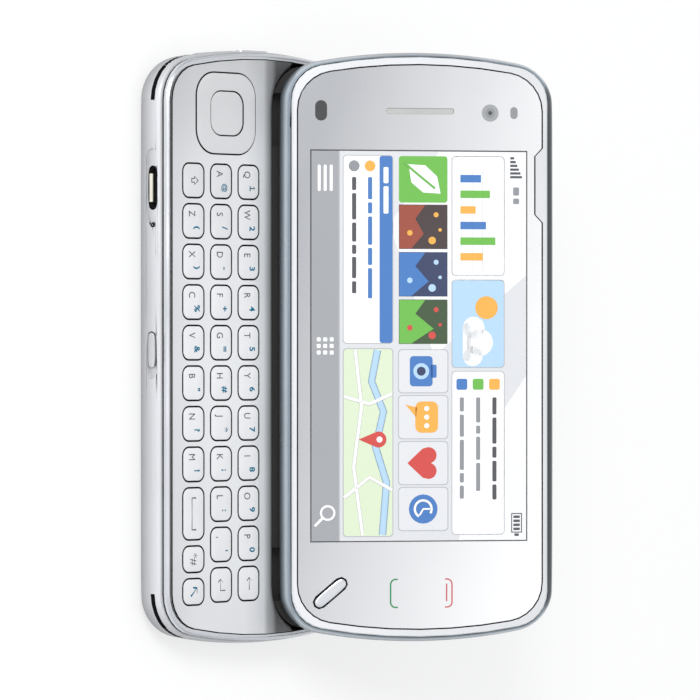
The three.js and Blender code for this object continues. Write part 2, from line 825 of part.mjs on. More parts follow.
function addLockSlider() {
  const front = -halfWidth + running;
  const back = -halfWidth + lockRecess - running;
  const inner = -halfWidth + shellWall + running;
  const knob = prism(pill(lockLength, lockHeight, lockX, lockZ), front, back, "y");
  const stem = prism(pill(2 * lockStem, lockStem, lockX, lockZ), front, inner + lockPlate, "y");
  const keeperOutline = pill(4 * lockStem, lockStem + 2 * running, lockX, lockZ);
  const keeper = prism(keeperOutline, inner, inner + lockPlate, "y");
  piece("lock_slider", joined([knob, stem, keeper]), paint.chrome);
}

// Button through the far wall: a cap outside and a wider flange inside.
function wallKey(length, along) {
  const flange = halfWidth - shellWall - seam;
  return joined([
    wallKeySpan(length, along, flange, halfWidth + sideKeyProud, 0),
    wallKeySpan(length, along, flange - sideKeyFlangeDepth, flange, sideKeyFlange),
  ]);
}

function powerKeySpan(from, to, grow) {
  const upright = pill(powerKeyLength + 2 * grow, sideKeyHeight + 2 * grow, 0, sideKeyZ);
  return prism(upright.map((p) => new THREE.Vector2(-p.y, p.x)), from, to, "x");
}

function addSideKeys() {
  const flange = halfLength - shellWall - seam;
  piece("power_key", joined([
    powerKeySpan(-halfLength - sideKeyProud, -flange, 0),
    powerKeySpan(-flange, -flange + sideKeyFlangeDepth, sideKeyFlange),
  ]), paint.chrome);
  piece("volume_key", wallKey(volumeKeyLength, volumeKeyX), paint.chrome);
  piece("camera_key", wallKey(cameraKeyLength, cameraKeyX), paint.chrome);
}

// Lid wall from the rounded underside up the leaning side band.
function lidBand() {
  const shares = [[0, 0.74], [0.06, 0.22], [0.22, 0], [0.43, 0.04], [0.65, 0.22], [0.84, 0.5], [1, 1]];
  return loft(shares.map(([heightShare, insetShare]) => ({
    at: heightShare * lidBandTop,
    outline: lidOutline(insetShare * lidBandInset, lidEndShare),
  })));
}

function lidPlateOutline(grow) {
  const { u } = lidPivot(mainPivotY, mainPivotZ, mainLidDrop);
  const length = lidPlateLength + 2 * grow;
  return roundedBox(length, lidPlateWidth + 2 * grow, lidPlateCorner + grow, 0, u + lidPlateWidth / 4);
}

function addLidCover() {
  const hollow = prism(lidOutline(lidWallInset), lidFloor, lidShoulder + overrun);
  const seat = prism(lidOutline(lipInset, lidEndShare), lidShoulder, lidBandTop + overrun);
  const plate = prism(lidPlateOutline(seam), -overrun, lidPlateThickness + seam);
  piece("lid_cover", without(lidBand(), [hollow, seat, plate]), paint.steel, lid);
}

// Window outline with the shallow notch in its far side.
function windowOutline(inset) {
  const length = phoneLength - 2 * windowEndInset;
  const width = phoneWidth - 2 * windowInset;
  const outline = planOutline(length, width, windowCorner, inset, halfWidth);
  const far = halfWidth + width / 2 - inset;
  const low = far - notchDepth;
  const half = notchLength / 2;
  const notch = [
    [notchCentreX + half, far],
    [notchCentreX + half - notchSlant, low],
    [notchCentreX - half + notchSlant, low],
    [notchCentreX - half, far],
  ].map(([x, y]) => new THREE.Vector2(x, y));
  const split = endSteps + cornerSteps + 1;
  return [...outline.slice(0, split), ...notch, ...outline.slice(split)];
}

function addBezel() {
  const outside = loft([
    { at: bezelBottom, outline: lidOutline(bezelInset, lidEndShare) },
    { at: lidThickness - bezelRound, outline: lidOutline(bezelInset, lidEndShare) },
    { at: lidThickness, outline: lidOutline(bezelInset + bezelRound, lidEndShare) },
  ]);
  const pocketFloor = lidThickness - windowThickness - seam;
  const pocket = prism(windowOutline(-seam), pocketFloor, lidThickness + overrun);
  const length = displayLength + 2 * displayRoom;
  const width = displayWidth + 2 * displayRoom;
  const openings = [
    roundedBox(length, width, displayRoomCorner, 0, displayCentreU),
    roundedBox(earpieceRoomLength, earpieceRoomWidth, wireSlotCorner, earpieceX, earpieceU),
    roundedBox(wireSlotLength, wireSlotWidth, wireSlotCorner, halfLength - wireSlotFromEnd, displayCentreU),
    menuKeyOutline(bezelFlange / 2),
  ].map((outline) => prism(outline, bezelBottom - overrun, lidThickness + overrun));
  piece("lid_bezel", without(outside, [pocket, ...openings]), paint.window, lid);
}

function menuKeyOutline(grow) {
  return pill(menuKeyLength + 2 * grow, menuKeyWidth + 2 * grow, 0, 0).map((p) => {
    const spun = p.clone().rotateAround(new THREE.Vector2(), menuKeyAngle);
    return new THREE.Vector2(menuKeyX + spun.x, menuKeyU + spun.y);
  });
}

function addWindow() {
  const bottom = lidThickness - windowThickness;
  const slot = roundedBox(earpieceWidth, earpieceLength, earpieceCorner, earpieceX, earpieceU);
  const cutters = [slot, menuKeyOutline(running)].map((outline) =>
    prism(outline, bottom - overrun, lidThickness + overrun));
  piece("front_window", without(prism(windowOutline(0), bottom, lidThickness), cutters), paint.window, lid);
}

function addDisplay() {
  const outline = roundedBox(displayLength, displayWidth, displayCorner, 0, displayCentreU);
  piece("display", prism(outline, displayBottom, displayBottom + displayThickness), paint.dark, lid);
}

function addMenuKey() {
  const flangeTop = lidThickness - windowThickness - keyTravel;
  const flangeBottom = flangeTop - keyFlangeHeight;
  piece("menu_key", loft([
    { at: flangeBottom, outline: menuKeyOutline(bezelFlange / 4) },
    { at: flangeTop, outline: menuKeyOutline(bezelFlange / 4) },
    { at: flangeTop, outline: menuKeyOutline(-running) },
    { at: lidThickness + menuKeyProud / 2, outline: menuKeyOutline(-running) },
    { at: lidThickness + menuKeyProud, outline: menuKeyOutline(-2 * running) },
  ]), paint.chrome, lid);
}

// Ear hanging under the lid's plate, round at its lower end.
function lidEar(centreX, u, drop, radius, bore) {
  const top = lidPlateThickness / 2;
  const outline = [
    ...arc(u, -drop, radius, Math.PI, 2 * Math.PI, 6),
    new THREE.Vector2(u + radius, top),
    new THREE.Vector2(u - radius, top),
  ];
  return ear(centreX, outline, circle(bore, u, -drop, 10));
}

function addLidHingePlate() {
  const main = lidPivot(mainPivotY, mainPivotZ, mainLidDrop);
  const guide = lidPivot(guidePivotY, guidePivotZ, guideLidDrop);
  const bore = pinRadius + running;
  const slack = bore + openPivotSlack;
  const ears = [
    ...earPlaces(mainArmX).map((x) => lidEar(x, main.u, mainLidDrop, earRadius, bore)),
    ...earPlaces(guideArmX).map((x) => lidEar(x, guide.u, guideLidDrop, guideEarRadius, slack)),
  ];
  const plate = prism(lidPlateOutline(0), 0, lidPlateThickness);
  piece("lid_hinge_plate", joined([plate, ...ears]), paint.steel, lid);
}

addBaseShell();
addRim();
addDeck();
addDomeSheet();
addKeys();
addDirectionPad();
addHingePlate();
addBoard();
addBattery();
addCamera();
addLensCover();
addUsbSocket();
addLockSlider();
addSideKeys();
addArms("main_arm", mainPivotY, mainPivotZ, mainLidDrop, mainArmX);
addArms("guide_arm", guidePivotY, guidePivotZ, guideLidDrop, guideArmX);
addLidCover();
addLidHingePlate();
addBezel();
addWindow();
addDisplay();
addMenuKey();

export default phone;
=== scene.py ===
# %% [markdown]
# # A slide-and-tilt phone, dressed for its picture
# The phone lies open: a full keyboard on the base, and a touch-screen lid tilted up behind it.
# The construction model gives every piece its place and size. This lesson adds what the eye
# looks for: smooth curves, broken edges, printed legends, a lit screen and real finishes.

import json
import math

import bmesh
import bpy
from mathutils import Matrix, Vector

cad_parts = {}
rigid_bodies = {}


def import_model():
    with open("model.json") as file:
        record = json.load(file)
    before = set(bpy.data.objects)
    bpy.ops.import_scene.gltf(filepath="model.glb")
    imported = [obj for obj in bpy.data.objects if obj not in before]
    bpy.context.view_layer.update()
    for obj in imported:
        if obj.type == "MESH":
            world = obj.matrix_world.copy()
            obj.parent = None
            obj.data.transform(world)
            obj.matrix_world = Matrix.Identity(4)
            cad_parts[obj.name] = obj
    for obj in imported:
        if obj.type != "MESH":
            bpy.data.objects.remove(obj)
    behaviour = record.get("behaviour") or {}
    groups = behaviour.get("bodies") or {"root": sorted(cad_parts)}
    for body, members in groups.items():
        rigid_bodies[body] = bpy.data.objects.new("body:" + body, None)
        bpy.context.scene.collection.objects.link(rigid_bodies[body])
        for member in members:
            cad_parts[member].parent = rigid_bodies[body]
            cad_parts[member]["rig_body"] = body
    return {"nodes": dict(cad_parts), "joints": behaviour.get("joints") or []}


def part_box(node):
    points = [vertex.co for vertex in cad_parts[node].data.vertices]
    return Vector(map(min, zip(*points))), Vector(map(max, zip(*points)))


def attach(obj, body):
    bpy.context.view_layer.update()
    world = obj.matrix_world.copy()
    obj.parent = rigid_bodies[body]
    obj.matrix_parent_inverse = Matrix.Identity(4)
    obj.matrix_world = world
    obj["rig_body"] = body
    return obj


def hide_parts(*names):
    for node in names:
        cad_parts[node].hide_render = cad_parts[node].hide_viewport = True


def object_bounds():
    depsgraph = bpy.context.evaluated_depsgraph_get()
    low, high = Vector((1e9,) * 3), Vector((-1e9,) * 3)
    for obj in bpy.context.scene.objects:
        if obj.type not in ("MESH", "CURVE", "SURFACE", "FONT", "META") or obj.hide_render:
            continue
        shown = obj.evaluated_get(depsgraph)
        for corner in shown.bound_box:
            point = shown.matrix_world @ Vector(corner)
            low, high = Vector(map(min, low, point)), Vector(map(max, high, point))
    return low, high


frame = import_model()
cad_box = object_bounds()
scene = bpy.context.scene
mm = 0.001


def in_mm(place):
    return [round(value / mm, 2) for value in place]


print("nodes in the frame:", len(frame["nodes"]), "in the box", [in_mm(c) for c in cad_box])

# %% [markdown]
# ## Small tools
# An operator acts on whatever is selected, so each step first leaves one object selected.
# Faces and edges are picked in code, by where they are or where they point.

# %% Selecting, applying and picking


def deselect():
    bpy.ops.object.select_all(action="DESELECT")


def activate(obj):
    deselect()
    obj.select_set(True)
    bpy.context.view_layer.objects.active = obj


def apply_place(obj):
    activate(obj)
    bpy.ops.object.transform_apply(location=True, rotation=True, scale=True)


def move_to(obj, place):
    """Moves an object, and then puts that place into its mesh."""
    obj.location = place
    apply_place(obj)


def apply_modifiers(obj):
    activate(obj)
    for modifier in list(obj.modifiers):
        bpy.ops.object.modifier_apply(modifier=modifier.name)


def join_all(objs):
    activate(objs[0])
    for obj in objs:
        obj.select_set(True)
    if len(objs) > 1:
        bpy.ops.object.join()
    return objs[0]


def pick(obj, kind, wanted):
    """Selects, in edit mode, only the faces or edges for which wanted says yes."""
    bpy.ops.mesh.select_mode(type=kind)
    bpy.ops.mesh.select_all(action="DESELECT")
    cage = bmesh.from_edit_mesh(obj.data)
    for element in cage.faces if kind == "FACE" else cage.edges:
        if wanted(element):
            element.select_set(True)
    cage.select_flush_mode()
    bmesh.update_edit_mesh(obj.data)


def in_edit_mode(obj):
    """Opens an object for editing, with all of it selected."""
    activate(obj)
    bpy.ops.object.mode_set(mode="EDIT")
    bpy.ops.mesh.select_all(action="SELECT")


def out_of_edit_mode():
    bpy.ops.object.mode_set(mode="OBJECT")


def add_object(name, data):
    """Shows a mesh, curve, camera or lamp in the scene as a new object."""
    obj = bpy.data.objects.new(name, data)
    scene.collection.objects.link(obj)
    return obj


def clad(obj, material):
    """Leaves this one material on an object."""
    obj.data.materials.clear()
    obj.data.materials.append(material)


def settle(obj, name, material, body):
    """Names and clads a new piece, and gives it the body it rides on."""
    obj.name = name
    clad(obj, material)
    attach(obj, body)


# %% [markdown]
# ## Fair curves on a faceted piece
# A construction mesh is loose triangles, so its curves look cut with a knife. A copy of it is
# merged, flat fans of triangles are dissolved, sharp edges are broken by a narrow bevel, and
# weighted normals shade the curves as one surface while flat faces stay flat.

# %% Dressing a construction piece
weld = 0.002 * mm
flat_angle = math.radians(0.4)
break_angle = math.radians(35)
crease_angle = math.radians(50)


def refine_curves(obj, levels):
    """Rounds the facets of curved sides by subdivision, with every sharp edge kept by a crease."""
    pick(obj, "EDGE", lambda e: e.is_manifold and e.calc_face_angle(0) > crease_angle)
    bpy.ops.transform.edge_crease(value=1)
    out_of_edit_mode()
    rounding = obj.modifiers.new("rounding", "SUBSURF")
    rounding.levels = levels
    apply_modifiers(obj)
    in_edit_mode(obj)


def smooth_copy(node, edge, name=None, levels=0, pierced=False):
    """A merged and smoothed copy of a construction piece, which itself stays untouched."""
    copy = add_object(name or f"{node}_dressed", frame["nodes"][node].data.copy())
    copy.data.materials.clear()
    in_edit_mode(copy)
    bpy.ops.mesh.remove_doubles(threshold=weld)
    if levels:
        refine_curves(copy, levels)
    bpy.ops.mesh.dissolve_limited(angle_limit=flat_angle)
    if pierced:
        # A wide flat face folds over its openings when its edge is broken, so it is cut up.
        pick(copy, "FACE", lambda f: len(f.verts) > 4)
        bpy.ops.mesh.quads_convert_to_tris(ngon_method="BEAUTY")
    out_of_edit_mode()
    bpy.ops.mesh.customdata_custom_splitnormals_clear()
    fair(copy, edge)
    return copy


def fair(obj, edge):
    """Breaks the sharp edges by a bevel of this width, if any, and shades the rest smooth."""
    activate(obj)
    bpy.ops.object.shade_smooth()
    if edge:
        bevel = obj.modifiers.new("edge", "BEVEL")
        bevel.width = edge
        bevel.segments = 2
        bevel.limit_method = "ANGLE"
        bevel.angle_limit = break_angle
        bevel.use_clamp_overlap = False
    else:
        bpy.ops.object.shade_smooth_by_angle(angle=crease_angle)
    normals = obj.modifiers.new("normals", "WEIGHTED_NORMAL")
    normals.weight = 60
    normals.keep_sharp = True
    apply_modifiers(obj)


def seat(piece, node, material):
    """Puts a finished piece in a node's stead: its body and its material."""
    clad(piece, material)
    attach(piece, frame["nodes"][node]["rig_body"])
    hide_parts(node)
    return piece


def dress(node, material, edge=0.05 * mm, **how):
    return seat(smooth_copy(node, edge, **how), node, material)


def paint_faces(obj, material, wanted):
    """Gives a second material to the faces whose corners all pass wanted(place in mm, normal)."""
    obj.data.materials.append(material)
    last = len(obj.data.materials) - 1
    places = [vertex.co / mm for vertex in obj.data.vertices]
    count = 0
    for polygon in obj.data.polygons:
        if all(wanted(places[i], polygon.normal) for i in polygon.vertices):
            polygon.material_index = last
            count += 1
    print(obj.name, "faces painted:", count)


# %% [markdown]
# ## Finishes
# Two node groups serve every material. One is a fine grain, which paint, plastic and blasted
# metal all have, and the other a soft smudge, which makes gloss uneven as handling does.

# %% Shared groups: grain and smudge


def set_inputs(node, values):
    for socket, value in values.items():
        node.inputs[socket].default_value = value


def add_node(tree, kind, values=None, **settings):
    """A new shader node with the given settings and input values."""
    node = tree.nodes.new(f"ShaderNode{kind}")
    for name, value in settings.items():
        setattr(node, name, value)
    set_inputs(node, values or {})
    return node


def wire(tree, *wires):
    """Joins sockets, each wire given as node, output, node and input."""
    for source, output, node, socket in wires:
        tree.links.new(source.outputs[output], node.inputs[socket])


def noise_group(name, detail, softness):
    """A noise that stays on the piece, with a scale and a stretch of its own."""
    group = bpy.data.node_groups.new(name, "ShaderNodeTree")
    group.interface.new_socket("Scale", in_out="INPUT", socket_type="NodeSocketFloat")
    group.interface.new_socket("Stretch", in_out="INPUT", socket_type="NodeSocketVector")
    group.interface.new_socket("Value", in_out="OUTPUT", socket_type="NodeSocketFloat")
    inputs = group.nodes.new("NodeGroupInput")
    outputs = group.nodes.new("NodeGroupOutput")
    place = add_node(group, "TexCoord")
    stretch = add_node(group, "VectorMath", operation="MULTIPLY")
    noise = add_node(group, "TexNoise", {"Detail": detail, "Roughness": softness})
    wire(group, (place, "Object", stretch, 0), (inputs, "Stretch", stretch, 1),
         (stretch, "Vector", noise, "Vector"), (inputs, "Scale", noise, "Scale"),
         (noise, "Fac", outputs, "Value"))
    return group


grain = noise_group("grain", detail=3, softness=0.6)
smudge = noise_group("smudge", detail=2, softness=0.45)
print("shared groups:", grain.name, smudge.name)

# %% [markdown]
# ## One recipe for paint, plastic and metal
# Each finish takes its own colour, gloss and grain. The colour varies by a few hundredths, the
# roughness follows the smudges, and a very shallow bump carries the grain.

# %% The recipe


def shader_of(material):
    return material.node_tree.nodes["Principled BSDF"]


def add_group(tree, group, size, stretch=(1, 1, 1)):
    return add_node(tree, "Group", {"Scale": 1 / size, "Stretch": stretch}, node_tree=group)


def spread(tree, noise, low, high):
    """Maps a noise around one half onto a narrow range."""
    node = add_node(tree, "MapRange", {"From Min": 0.3, "From Max": 0.7, "To Min": low,
                                       "To Max": high})
    wire(tree, (noise, "Value", node, "Value"))
    return node


def two_tone(tree, mask, colour_a, colour_b):
    values = {"A": (*colour_a, 1), "B": (*colour_b, 1)}
    node = add_node(tree, "Mix", values, data_type="RGBA")
    wire(tree, (mask, "Result", node, "Factor"))
    return node


smudge_size = 14 * mm
coat_roughness = 0.06
gloss_spread = 0.15
relief_strength = 0.3


def finish(name, colour, rough, metal=0.0, coat=0.0, grain_size=0.15, bump=0.02,
           stretch=(1, 1, 1), vary=0.03, glint=0.5):
    """A material; the grain's size and depth (bump) are given in millimetres."""
    material = bpy.data.materials.new(name)
    material.use_nodes = True
    tree = material.node_tree
    shader = shader_of(material)
    set_inputs(shader, {"Specular IOR Level": glint, "Metallic": metal, "Coat Weight": coat,
                        "Coat Roughness": coat_roughness})
    fine = add_group(tree, grain, grain_size * mm, stretch)
    broad = add_group(tree, smudge, smudge_size)
    lighter = tuple(min(1, channel * (1 + vary)) for channel in colour)
    darker = tuple(channel * (1 - vary) for channel in colour)
    tone = two_tone(tree, spread(tree, broad, 0, 1), darker, lighter)
    gloss = spread(tree, broad, rough * (1 - gloss_spread), rough * (1 + gloss_spread))
    relief = add_node(tree, "Bump", {"Strength": relief_strength, "Distance": bump * mm})
    wire(tree, (tone, "Result", shader, "Base Color"), (gloss, "Result", shader, "Roughness"),
         (fine, "Value", relief, "Height"), (relief, "Normal", shader, "Normal"))
    return material


# %% [markdown]
# ## Painted shade along a piece
# Pale paint under soft light still runs from light to dark, and a small scene can't hold every
# wall and window that a real room reflects. So the larger finishes also carry a slow ramp of
# painted shade and highlight in the piece's own coordinates, which stays with the piece in every
# view.

# %% A ramp of painted shade along a direction
upward = (0, 0, 1)
lengthwise = (1, 0, 0)
crosswise = (0, 1, 0)
lid_tilt = math.radians(35)
lid_up = (0, -math.sin(lid_tilt), math.cos(lid_tilt))
lid_along = (0, math.cos(lid_tilt), math.sin(lid_tilt))


def shade_along(material, direction, stops):
    """Paints shade into a finish, by pairs of a distance in millimetres and a grey level or a
    colour.
    """
    tree = material.node_tree
    base = shader_of(material).inputs["Base Color"]
    first, last = stops[0][0], stops[-1][0]
    place = add_node(tree, "TexCoord")
    along = add_node(tree, "VectorMath", {1: direction}, operation="DOT_PRODUCT")
    scale = add_node(tree, "MapRange", {"From Min": first * mm, "From Max": last * mm})
    ramp = add_node(tree, "ValToRGB")
    mix = add_node(tree, "Mix", {"Factor": 1}, data_type="RGBA", blend_type="MULTIPLY")
    elements = ramp.color_ramp.elements
    for index, (at, tone) in enumerate(stops):
        share = (at - first) / (last - first)
        if 0 < index < len(stops) - 1:
            stop = elements.new(share)
        else:
            stop = elements[0 if index == 0 else -1]
        stop.position = share
        stop.color = (*(tone if isinstance(tone, tuple) else (tone,) * 3), 1)
    tree.links.new(base.links[0].from_socket, mix.inputs["A"])
    tree.links.new(mix.outputs["Result"], base)
    wire(tree, (place, "Object", along, 0), (along, "Value", scale, "Value"),
         (scale, "Result", ramp, "Fac"), (ramp, "Color", mix, "B"))


# %% Finishes of the base
shell_paint = finish("shell_lacquer", (0.72, 0.73, 0.75), 0.42, metal=0.1, coat=0.3)
# Painted shade: the shell darkens towards its foot and towards both ends.
shade_along(shell_paint, upward, [(1.5, 0.48), (3.0, 0.61), (4.6, 0.76), (6.6, 1.0)])
shade_along(shell_paint, lengthwise, [(-58.6, 0.55), (-55, 0.75), (-49, 1.0), (50, 1.0),
                                      (58.6, 0.75)])
deck_paint = finish("deck_silver_paint", (0.82, 0.83, 0.845), 0.36, metal=0.1, coat=0.3)
# Painted shade: the deck darkens towards its ends, most at the -x end, a little at its near edge,
# and steeply where it rolls down into the hollow by the lid.
shade_along(deck_paint, lengthwise, [(-57, 0.68), (-36, 0.93), (0, 1.0), (60, 0.92)])
shade_along(deck_paint, crosswise, [(-26, 0.86), (-19, 0.96), (-13, 1.0), (-6, 1.0), (-0.6, 0.84),
                                    (0.5, 0.50), (1.8, 0.38), (2.9, 0.14)])
key_plastic = finish("key_plastic", (0.82, 0.825, 0.835), 0.42, coat=0.15)
# Painted shade: the keys darken towards the ends of the keyboard, most at the -x end.
shade_along(key_plastic, lengthwise, [(-48, 0.76), (-32, 0.88), (-4, 1.0), (20, 0.97), (50, 0.93)])
bright_trim = finish("satin_chrome", (0.80, 0.82, 0.85), 0.28, metal=1.0, bump=0.005)

# %% Finishes of the lid
lid_metal = finish("lid_blue_steel", (1.0, 1.0, 1.0), 0.3, metal=0.35, coat=0.4, bump=0.005,
                   vary=0.0)
# Painted shade and highlight: the band is near black at its foot by the deck, a pale stripe of
# painted highlight runs along it about 9 mm up, and it darkens again above that, at the far edge
# and at both ends.
shade_along(lid_metal, lid_up, [(4.3, 0.03), (5.4, (0.05, 0.055, 0.06)), (6.4, (0.17, 0.205, 0.23)),
                                (8.0, (0.38, 0.44, 0.48)), (9.05, (0.62, 0.69, 0.74)),
                                (9.6, (0.38, 0.45, 0.52)), (9.9, (0.17, 0.21, 0.24))])
shade_along(lid_metal, lid_along, [(0, 1.0), (60.7, 1.0), (61.4, 0.35), (62.2, 0.08)])
shade_along(lid_metal, lengthwise, [(-58.8, 0.35), (-57.4, 0.7), (-54, 1.0), (54, 1.0),
                                    (57.6, 0.85), (58.8, 0.5)])
lid_under = finish("lid_underside", (0.42, 0.44, 0.46), 0.35, metal=0.3, coat=0.2)
bezel_white = finish("bezel_white", (0.80, 0.81, 0.83), 0.25, coat=0.6)
# Painted shade: the bezel darkens a little towards the lid's far edge.
shade_along(bezel_white, lid_along, [(8, 1.0), (30, 0.97), (62, 0.88)])

# %% Finishes of the hinge, the painted shade of the gaps, and the socket
hinge_metal = finish("hinge_steel", (0.52, 0.54, 0.56), 0.3, metal=1.0, stretch=(0.05, 1, 1),
                     bump=0.01)
# The base's hinge plate is painted near black: painted shade under the lid's foot.
hinge_plate_shade = finish("hinge_plate_painted_shade", (0.045, 0.042, 0.042), 0.55, metal=0.2, bump=0.01)
# A matt black for dark insides, which also serves as painted shade in gaps and openings.
black_and_gap_shade = finish("black_and_gap_shade", (0.012, 0.012, 0.013), 0.85, glint=0.08)
# A dark grey painted as shade on the walls round the keys and the pad.
painted_gap_shade = finish("painted_gap_shade", (0.055, 0.056, 0.058), 0.85, glint=0.08)
cream_plastic = finish("socket_tongue_cream", (0.86, 0.82, 0.70), 0.4)
print("finishes:", len(bpy.data.materials))

# %% [markdown]
# ## The printed window
# The lid's window is clear and printed from behind. Its colour is a painted reflection that runs
# from silver to white along the lid, with a faint painted glow. The print lies under glass, so
# its gloss is a coat over a soft pearl.

# %% Print under glass, with a painted reflection
glass_roughness = 0.03


def window_print_with_painted_reflection():
    material = finish("window_print_painted_reflection", (0.8, 0.8, 0.8), 0.3, metal=0.15, coat=1.0, bump=0.0)
    tree = material.node_tree
    shader = shader_of(material)
    # Painted reflection: the print runs from silver to white across the window, and the same colour
    # glows faintly as painted light.
    place = add_node(tree, "TexCoord")
    axes = add_node(tree, "SeparateXYZ")
    along = add_node(tree, "Math", {1: 0.2}, operation="MULTIPLY_ADD")
    ramp = add_node(tree, "MapRange", {"From Min": -2.4 * mm, "From Max": 53 * mm})
    tone = two_tone(tree, ramp, (0.40, 0.41, 0.43), (0.98, 0.98, 0.98))
    wire(tree, (place, "Object", axes, "Vector"), (axes, "X", along, 0), (axes, "Y", along, 2),
         (along, "Value", ramp, "Value"), (tone, "Result", shader, "Base Color"),
         (tone, "Result", shader, "Emission Color"))
    set_inputs(shader, {"Coat Roughness": glass_roughness, "Emission Strength": 0.05})
    return material


window_print = window_print_with_painted_reflection()

# %% [markdown]
# ## Casings
# The shells, rim and bezel already have their true form in the construction model, so each
# is dressed as it is: smooth shading, broken edges and its own finish.

# %% Shells, rim, covers and trim
shell = dress("base_shell", shell_paint, 0.06 * mm, levels=2, pierced=True)
rim = dress("base_rim", bright_trim, 0.03 * mm)
dress("battery_cover", shell_paint, 0.08 * mm, levels=2)
dress("lens_cover", shell_paint)
lid_shell = dress("lid_cover", lid_metal, levels=2)
bezel = dress("lid_bezel", bezel_white)
dress("hinge_plate", hinge_plate_shade)
dress("lid_hinge_plate", hinge_metal)
for side in ("left", "right"):
    dress(f"main_arm_{side}", hinge_metal, levels=2)
    dress(f"guide_arm_{side}", hinge_metal, levels=2)
for node in ("power_key", "camera_key"):
    dress(node, bright_trim, levels=2)
dress("volume_key", bright_trim, 0.08 * mm)
dress("lock_slider", shell_paint, levels=2)
menu_key = dress("menu_key", bright_trim, 0.06 * mm, levels=2)
dress("usb_socket", black_and_gap_shade, 0.03 * mm, levels=2)

# %% [markdown]
# ## Painted shade in the gaps
# A gap between two mouldings reads as a dark line, because light hardly gets in. The walls of
# the window's pocket, the seat of the bezel, the rim's foot and the insides of the openings get
# a matt black as painted shade. Faces are found by place and by where they point, each by a small
# test.

# %% Tests for a place on the lid
lid_foot = (0, 4.1, 8.0)
lid_axis = Vector(lid_up)


def lid_height(point):
    """Height over the lid's underside, in millimetres."""
    return point.dot(lid_axis) - Vector(lid_foot).dot(lid_axis)


def in_pocket(point):
    """Inside the window's outline, or a little beyond it, in the lid's own plane."""
    up = (point.y - lid_foot[1]) * lid_along[1] + (point.z - lid_foot[2]) * lid_along[2]
    return abs(point.x) < 56.2 and 2.7 < up < 52.6


def on_lid_floor(point, normal):
    """On the floor of the lid's tray, on which the bezel sits."""
    return 4.2 < lid_height(point) < 4.6 and normal.dot(lid_axis) > 0.9


# %% Tests for a place on the base
socket_x = (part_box("usb_socket")[0].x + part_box("usb_socket")[1].x) / 2 / mm
socket_z = 5.55
rim_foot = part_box("base_rim")[0].z / mm + 0.35
rim_top = 8.55
corner_middle = (47.863, -18.65)
upright_slope = 0.3
print("socket's middle:", round(socket_x, 2), "rim's foot:", round(rim_foot, 2))


def in_speaker_slot(point):
    """Between the slot's two curved walls, which run round the shell's corner."""
    reach = math.hypot(abs(point.x) - corner_middle[0], point.y - corner_middle[1])
    return abs(point.x) > 47.8 and point.y < -18.6 and 7.8 < reach < 8.93 and 5.2 < point.z < 6.2


def in_socket_mouth(point):
    return (-27.32 < point.y < -26 and abs(point.x - socket_x) < 4.45
            and abs(point.z - socket_z) < 1.25)


def is_upright(normal):
    return abs(normal.z) < upright_slope


def on_rim_inside(point, normal):
    """On the rim's wall towards the deck, whose normal points to the middle of the base."""
    inward = normal.x * point.x + normal.y * (point.y + 5) < 0
    return is_upright(normal) and inward and point.z < rim_top


# %% Painting the gaps' shade
# Painted shade: matt black on the rim's foot and inner wall, the bezel's pocket, the lid's tray
# floor, the menu key's foot, the speaker slot and the socket's mouth.
in_edit_mode(rim)
bpy.ops.mesh.bisect(plane_co=(0, 0, rim_foot * mm), plane_no=(0, 0, 1))
out_of_edit_mode()
paint_faces(rim, black_and_gap_shade, lambda p, n: p.z < rim_foot + 0.01)
paint_faces(rim, black_and_gap_shade, on_rim_inside)
paint_faces(bezel, black_and_gap_shade,
            lambda p, n: in_pocket(p) and (lid_height(p) < 5.2 or n.dot(lid_axis) < 0.5))
paint_faces(bezel, lid_metal, lambda p, n: not in_pocket(p) and n.dot(lid_axis) < 0.5)
paint_faces(lid_shell, black_and_gap_shade, on_lid_floor)
paint_faces(lid_shell, lid_under, lambda p, n: lid_height(p) < 0.1 and n.dot(lid_axis) < -0.9)
paint_faces(menu_key, black_and_gap_shade, lambda p, n: lid_height(p) < 5.4)
paint_faces(shell, black_and_gap_shade, lambda p, n: in_speaker_slot(p) or in_socket_mouth(p))

# %% [markdown]
# ## Key caps
# A key is a block with round upright edges, a flange that keeps it under the deck, a soft
# shoulder and a top that rises a little to its middle. One cap is shaped for each length, and
# every key then gets a copy of its own.

# %% Steps that every key shares
near_top = 0.01 * mm


def middle(low, high, shift=0.0):
    """The middle of a box as seen from above."""
    return ((low.x + high.x) / 2, (low.y + high.y) / 2 + shift, 0)


def rounded_block(length, depth, low, high, corner, steps=8):
    """A block with round upright edges, left in edit mode."""
    deselect()
    bpy.ops.mesh.primitive_cube_add(size=1, location=(0, 0, (low + high) / 2))
    block = bpy.context.active_object
    block.scale = (length, depth, high - low)
    apply_place(block)
    in_edit_mode(block)
    pick(block, "EDGE", lambda e: abs(e.verts[0].co.z - e.verts[1].co.z) > (high - low) / 2)
    bpy.ops.mesh.bevel(offset=corner, segments=steps, affect="EDGES")
    return block


def extrude_up(height):
    bpy.ops.mesh.extrude_region_move(TRANSFORM_OT_translate={"value": (0, 0, height)})


def crown(block, top, shoulder, steps):
    """Bevels the edge of the top, and raises the top in steps of (share, rise)."""
    pick(block, "EDGE", lambda e: min(v.co.z for v in e.verts) > top - near_top)
    bpy.ops.mesh.bevel(offset=shoulder, segments=4, affect="EDGES")
    pick(block, "FACE", lambda f: f.normal.z > 0.99 and f.calc_center_median().z > top - near_top)
    for share, rise in steps:
        extrude_up(rise)
        bpy.ops.transform.resize(value=(share, share, 1))


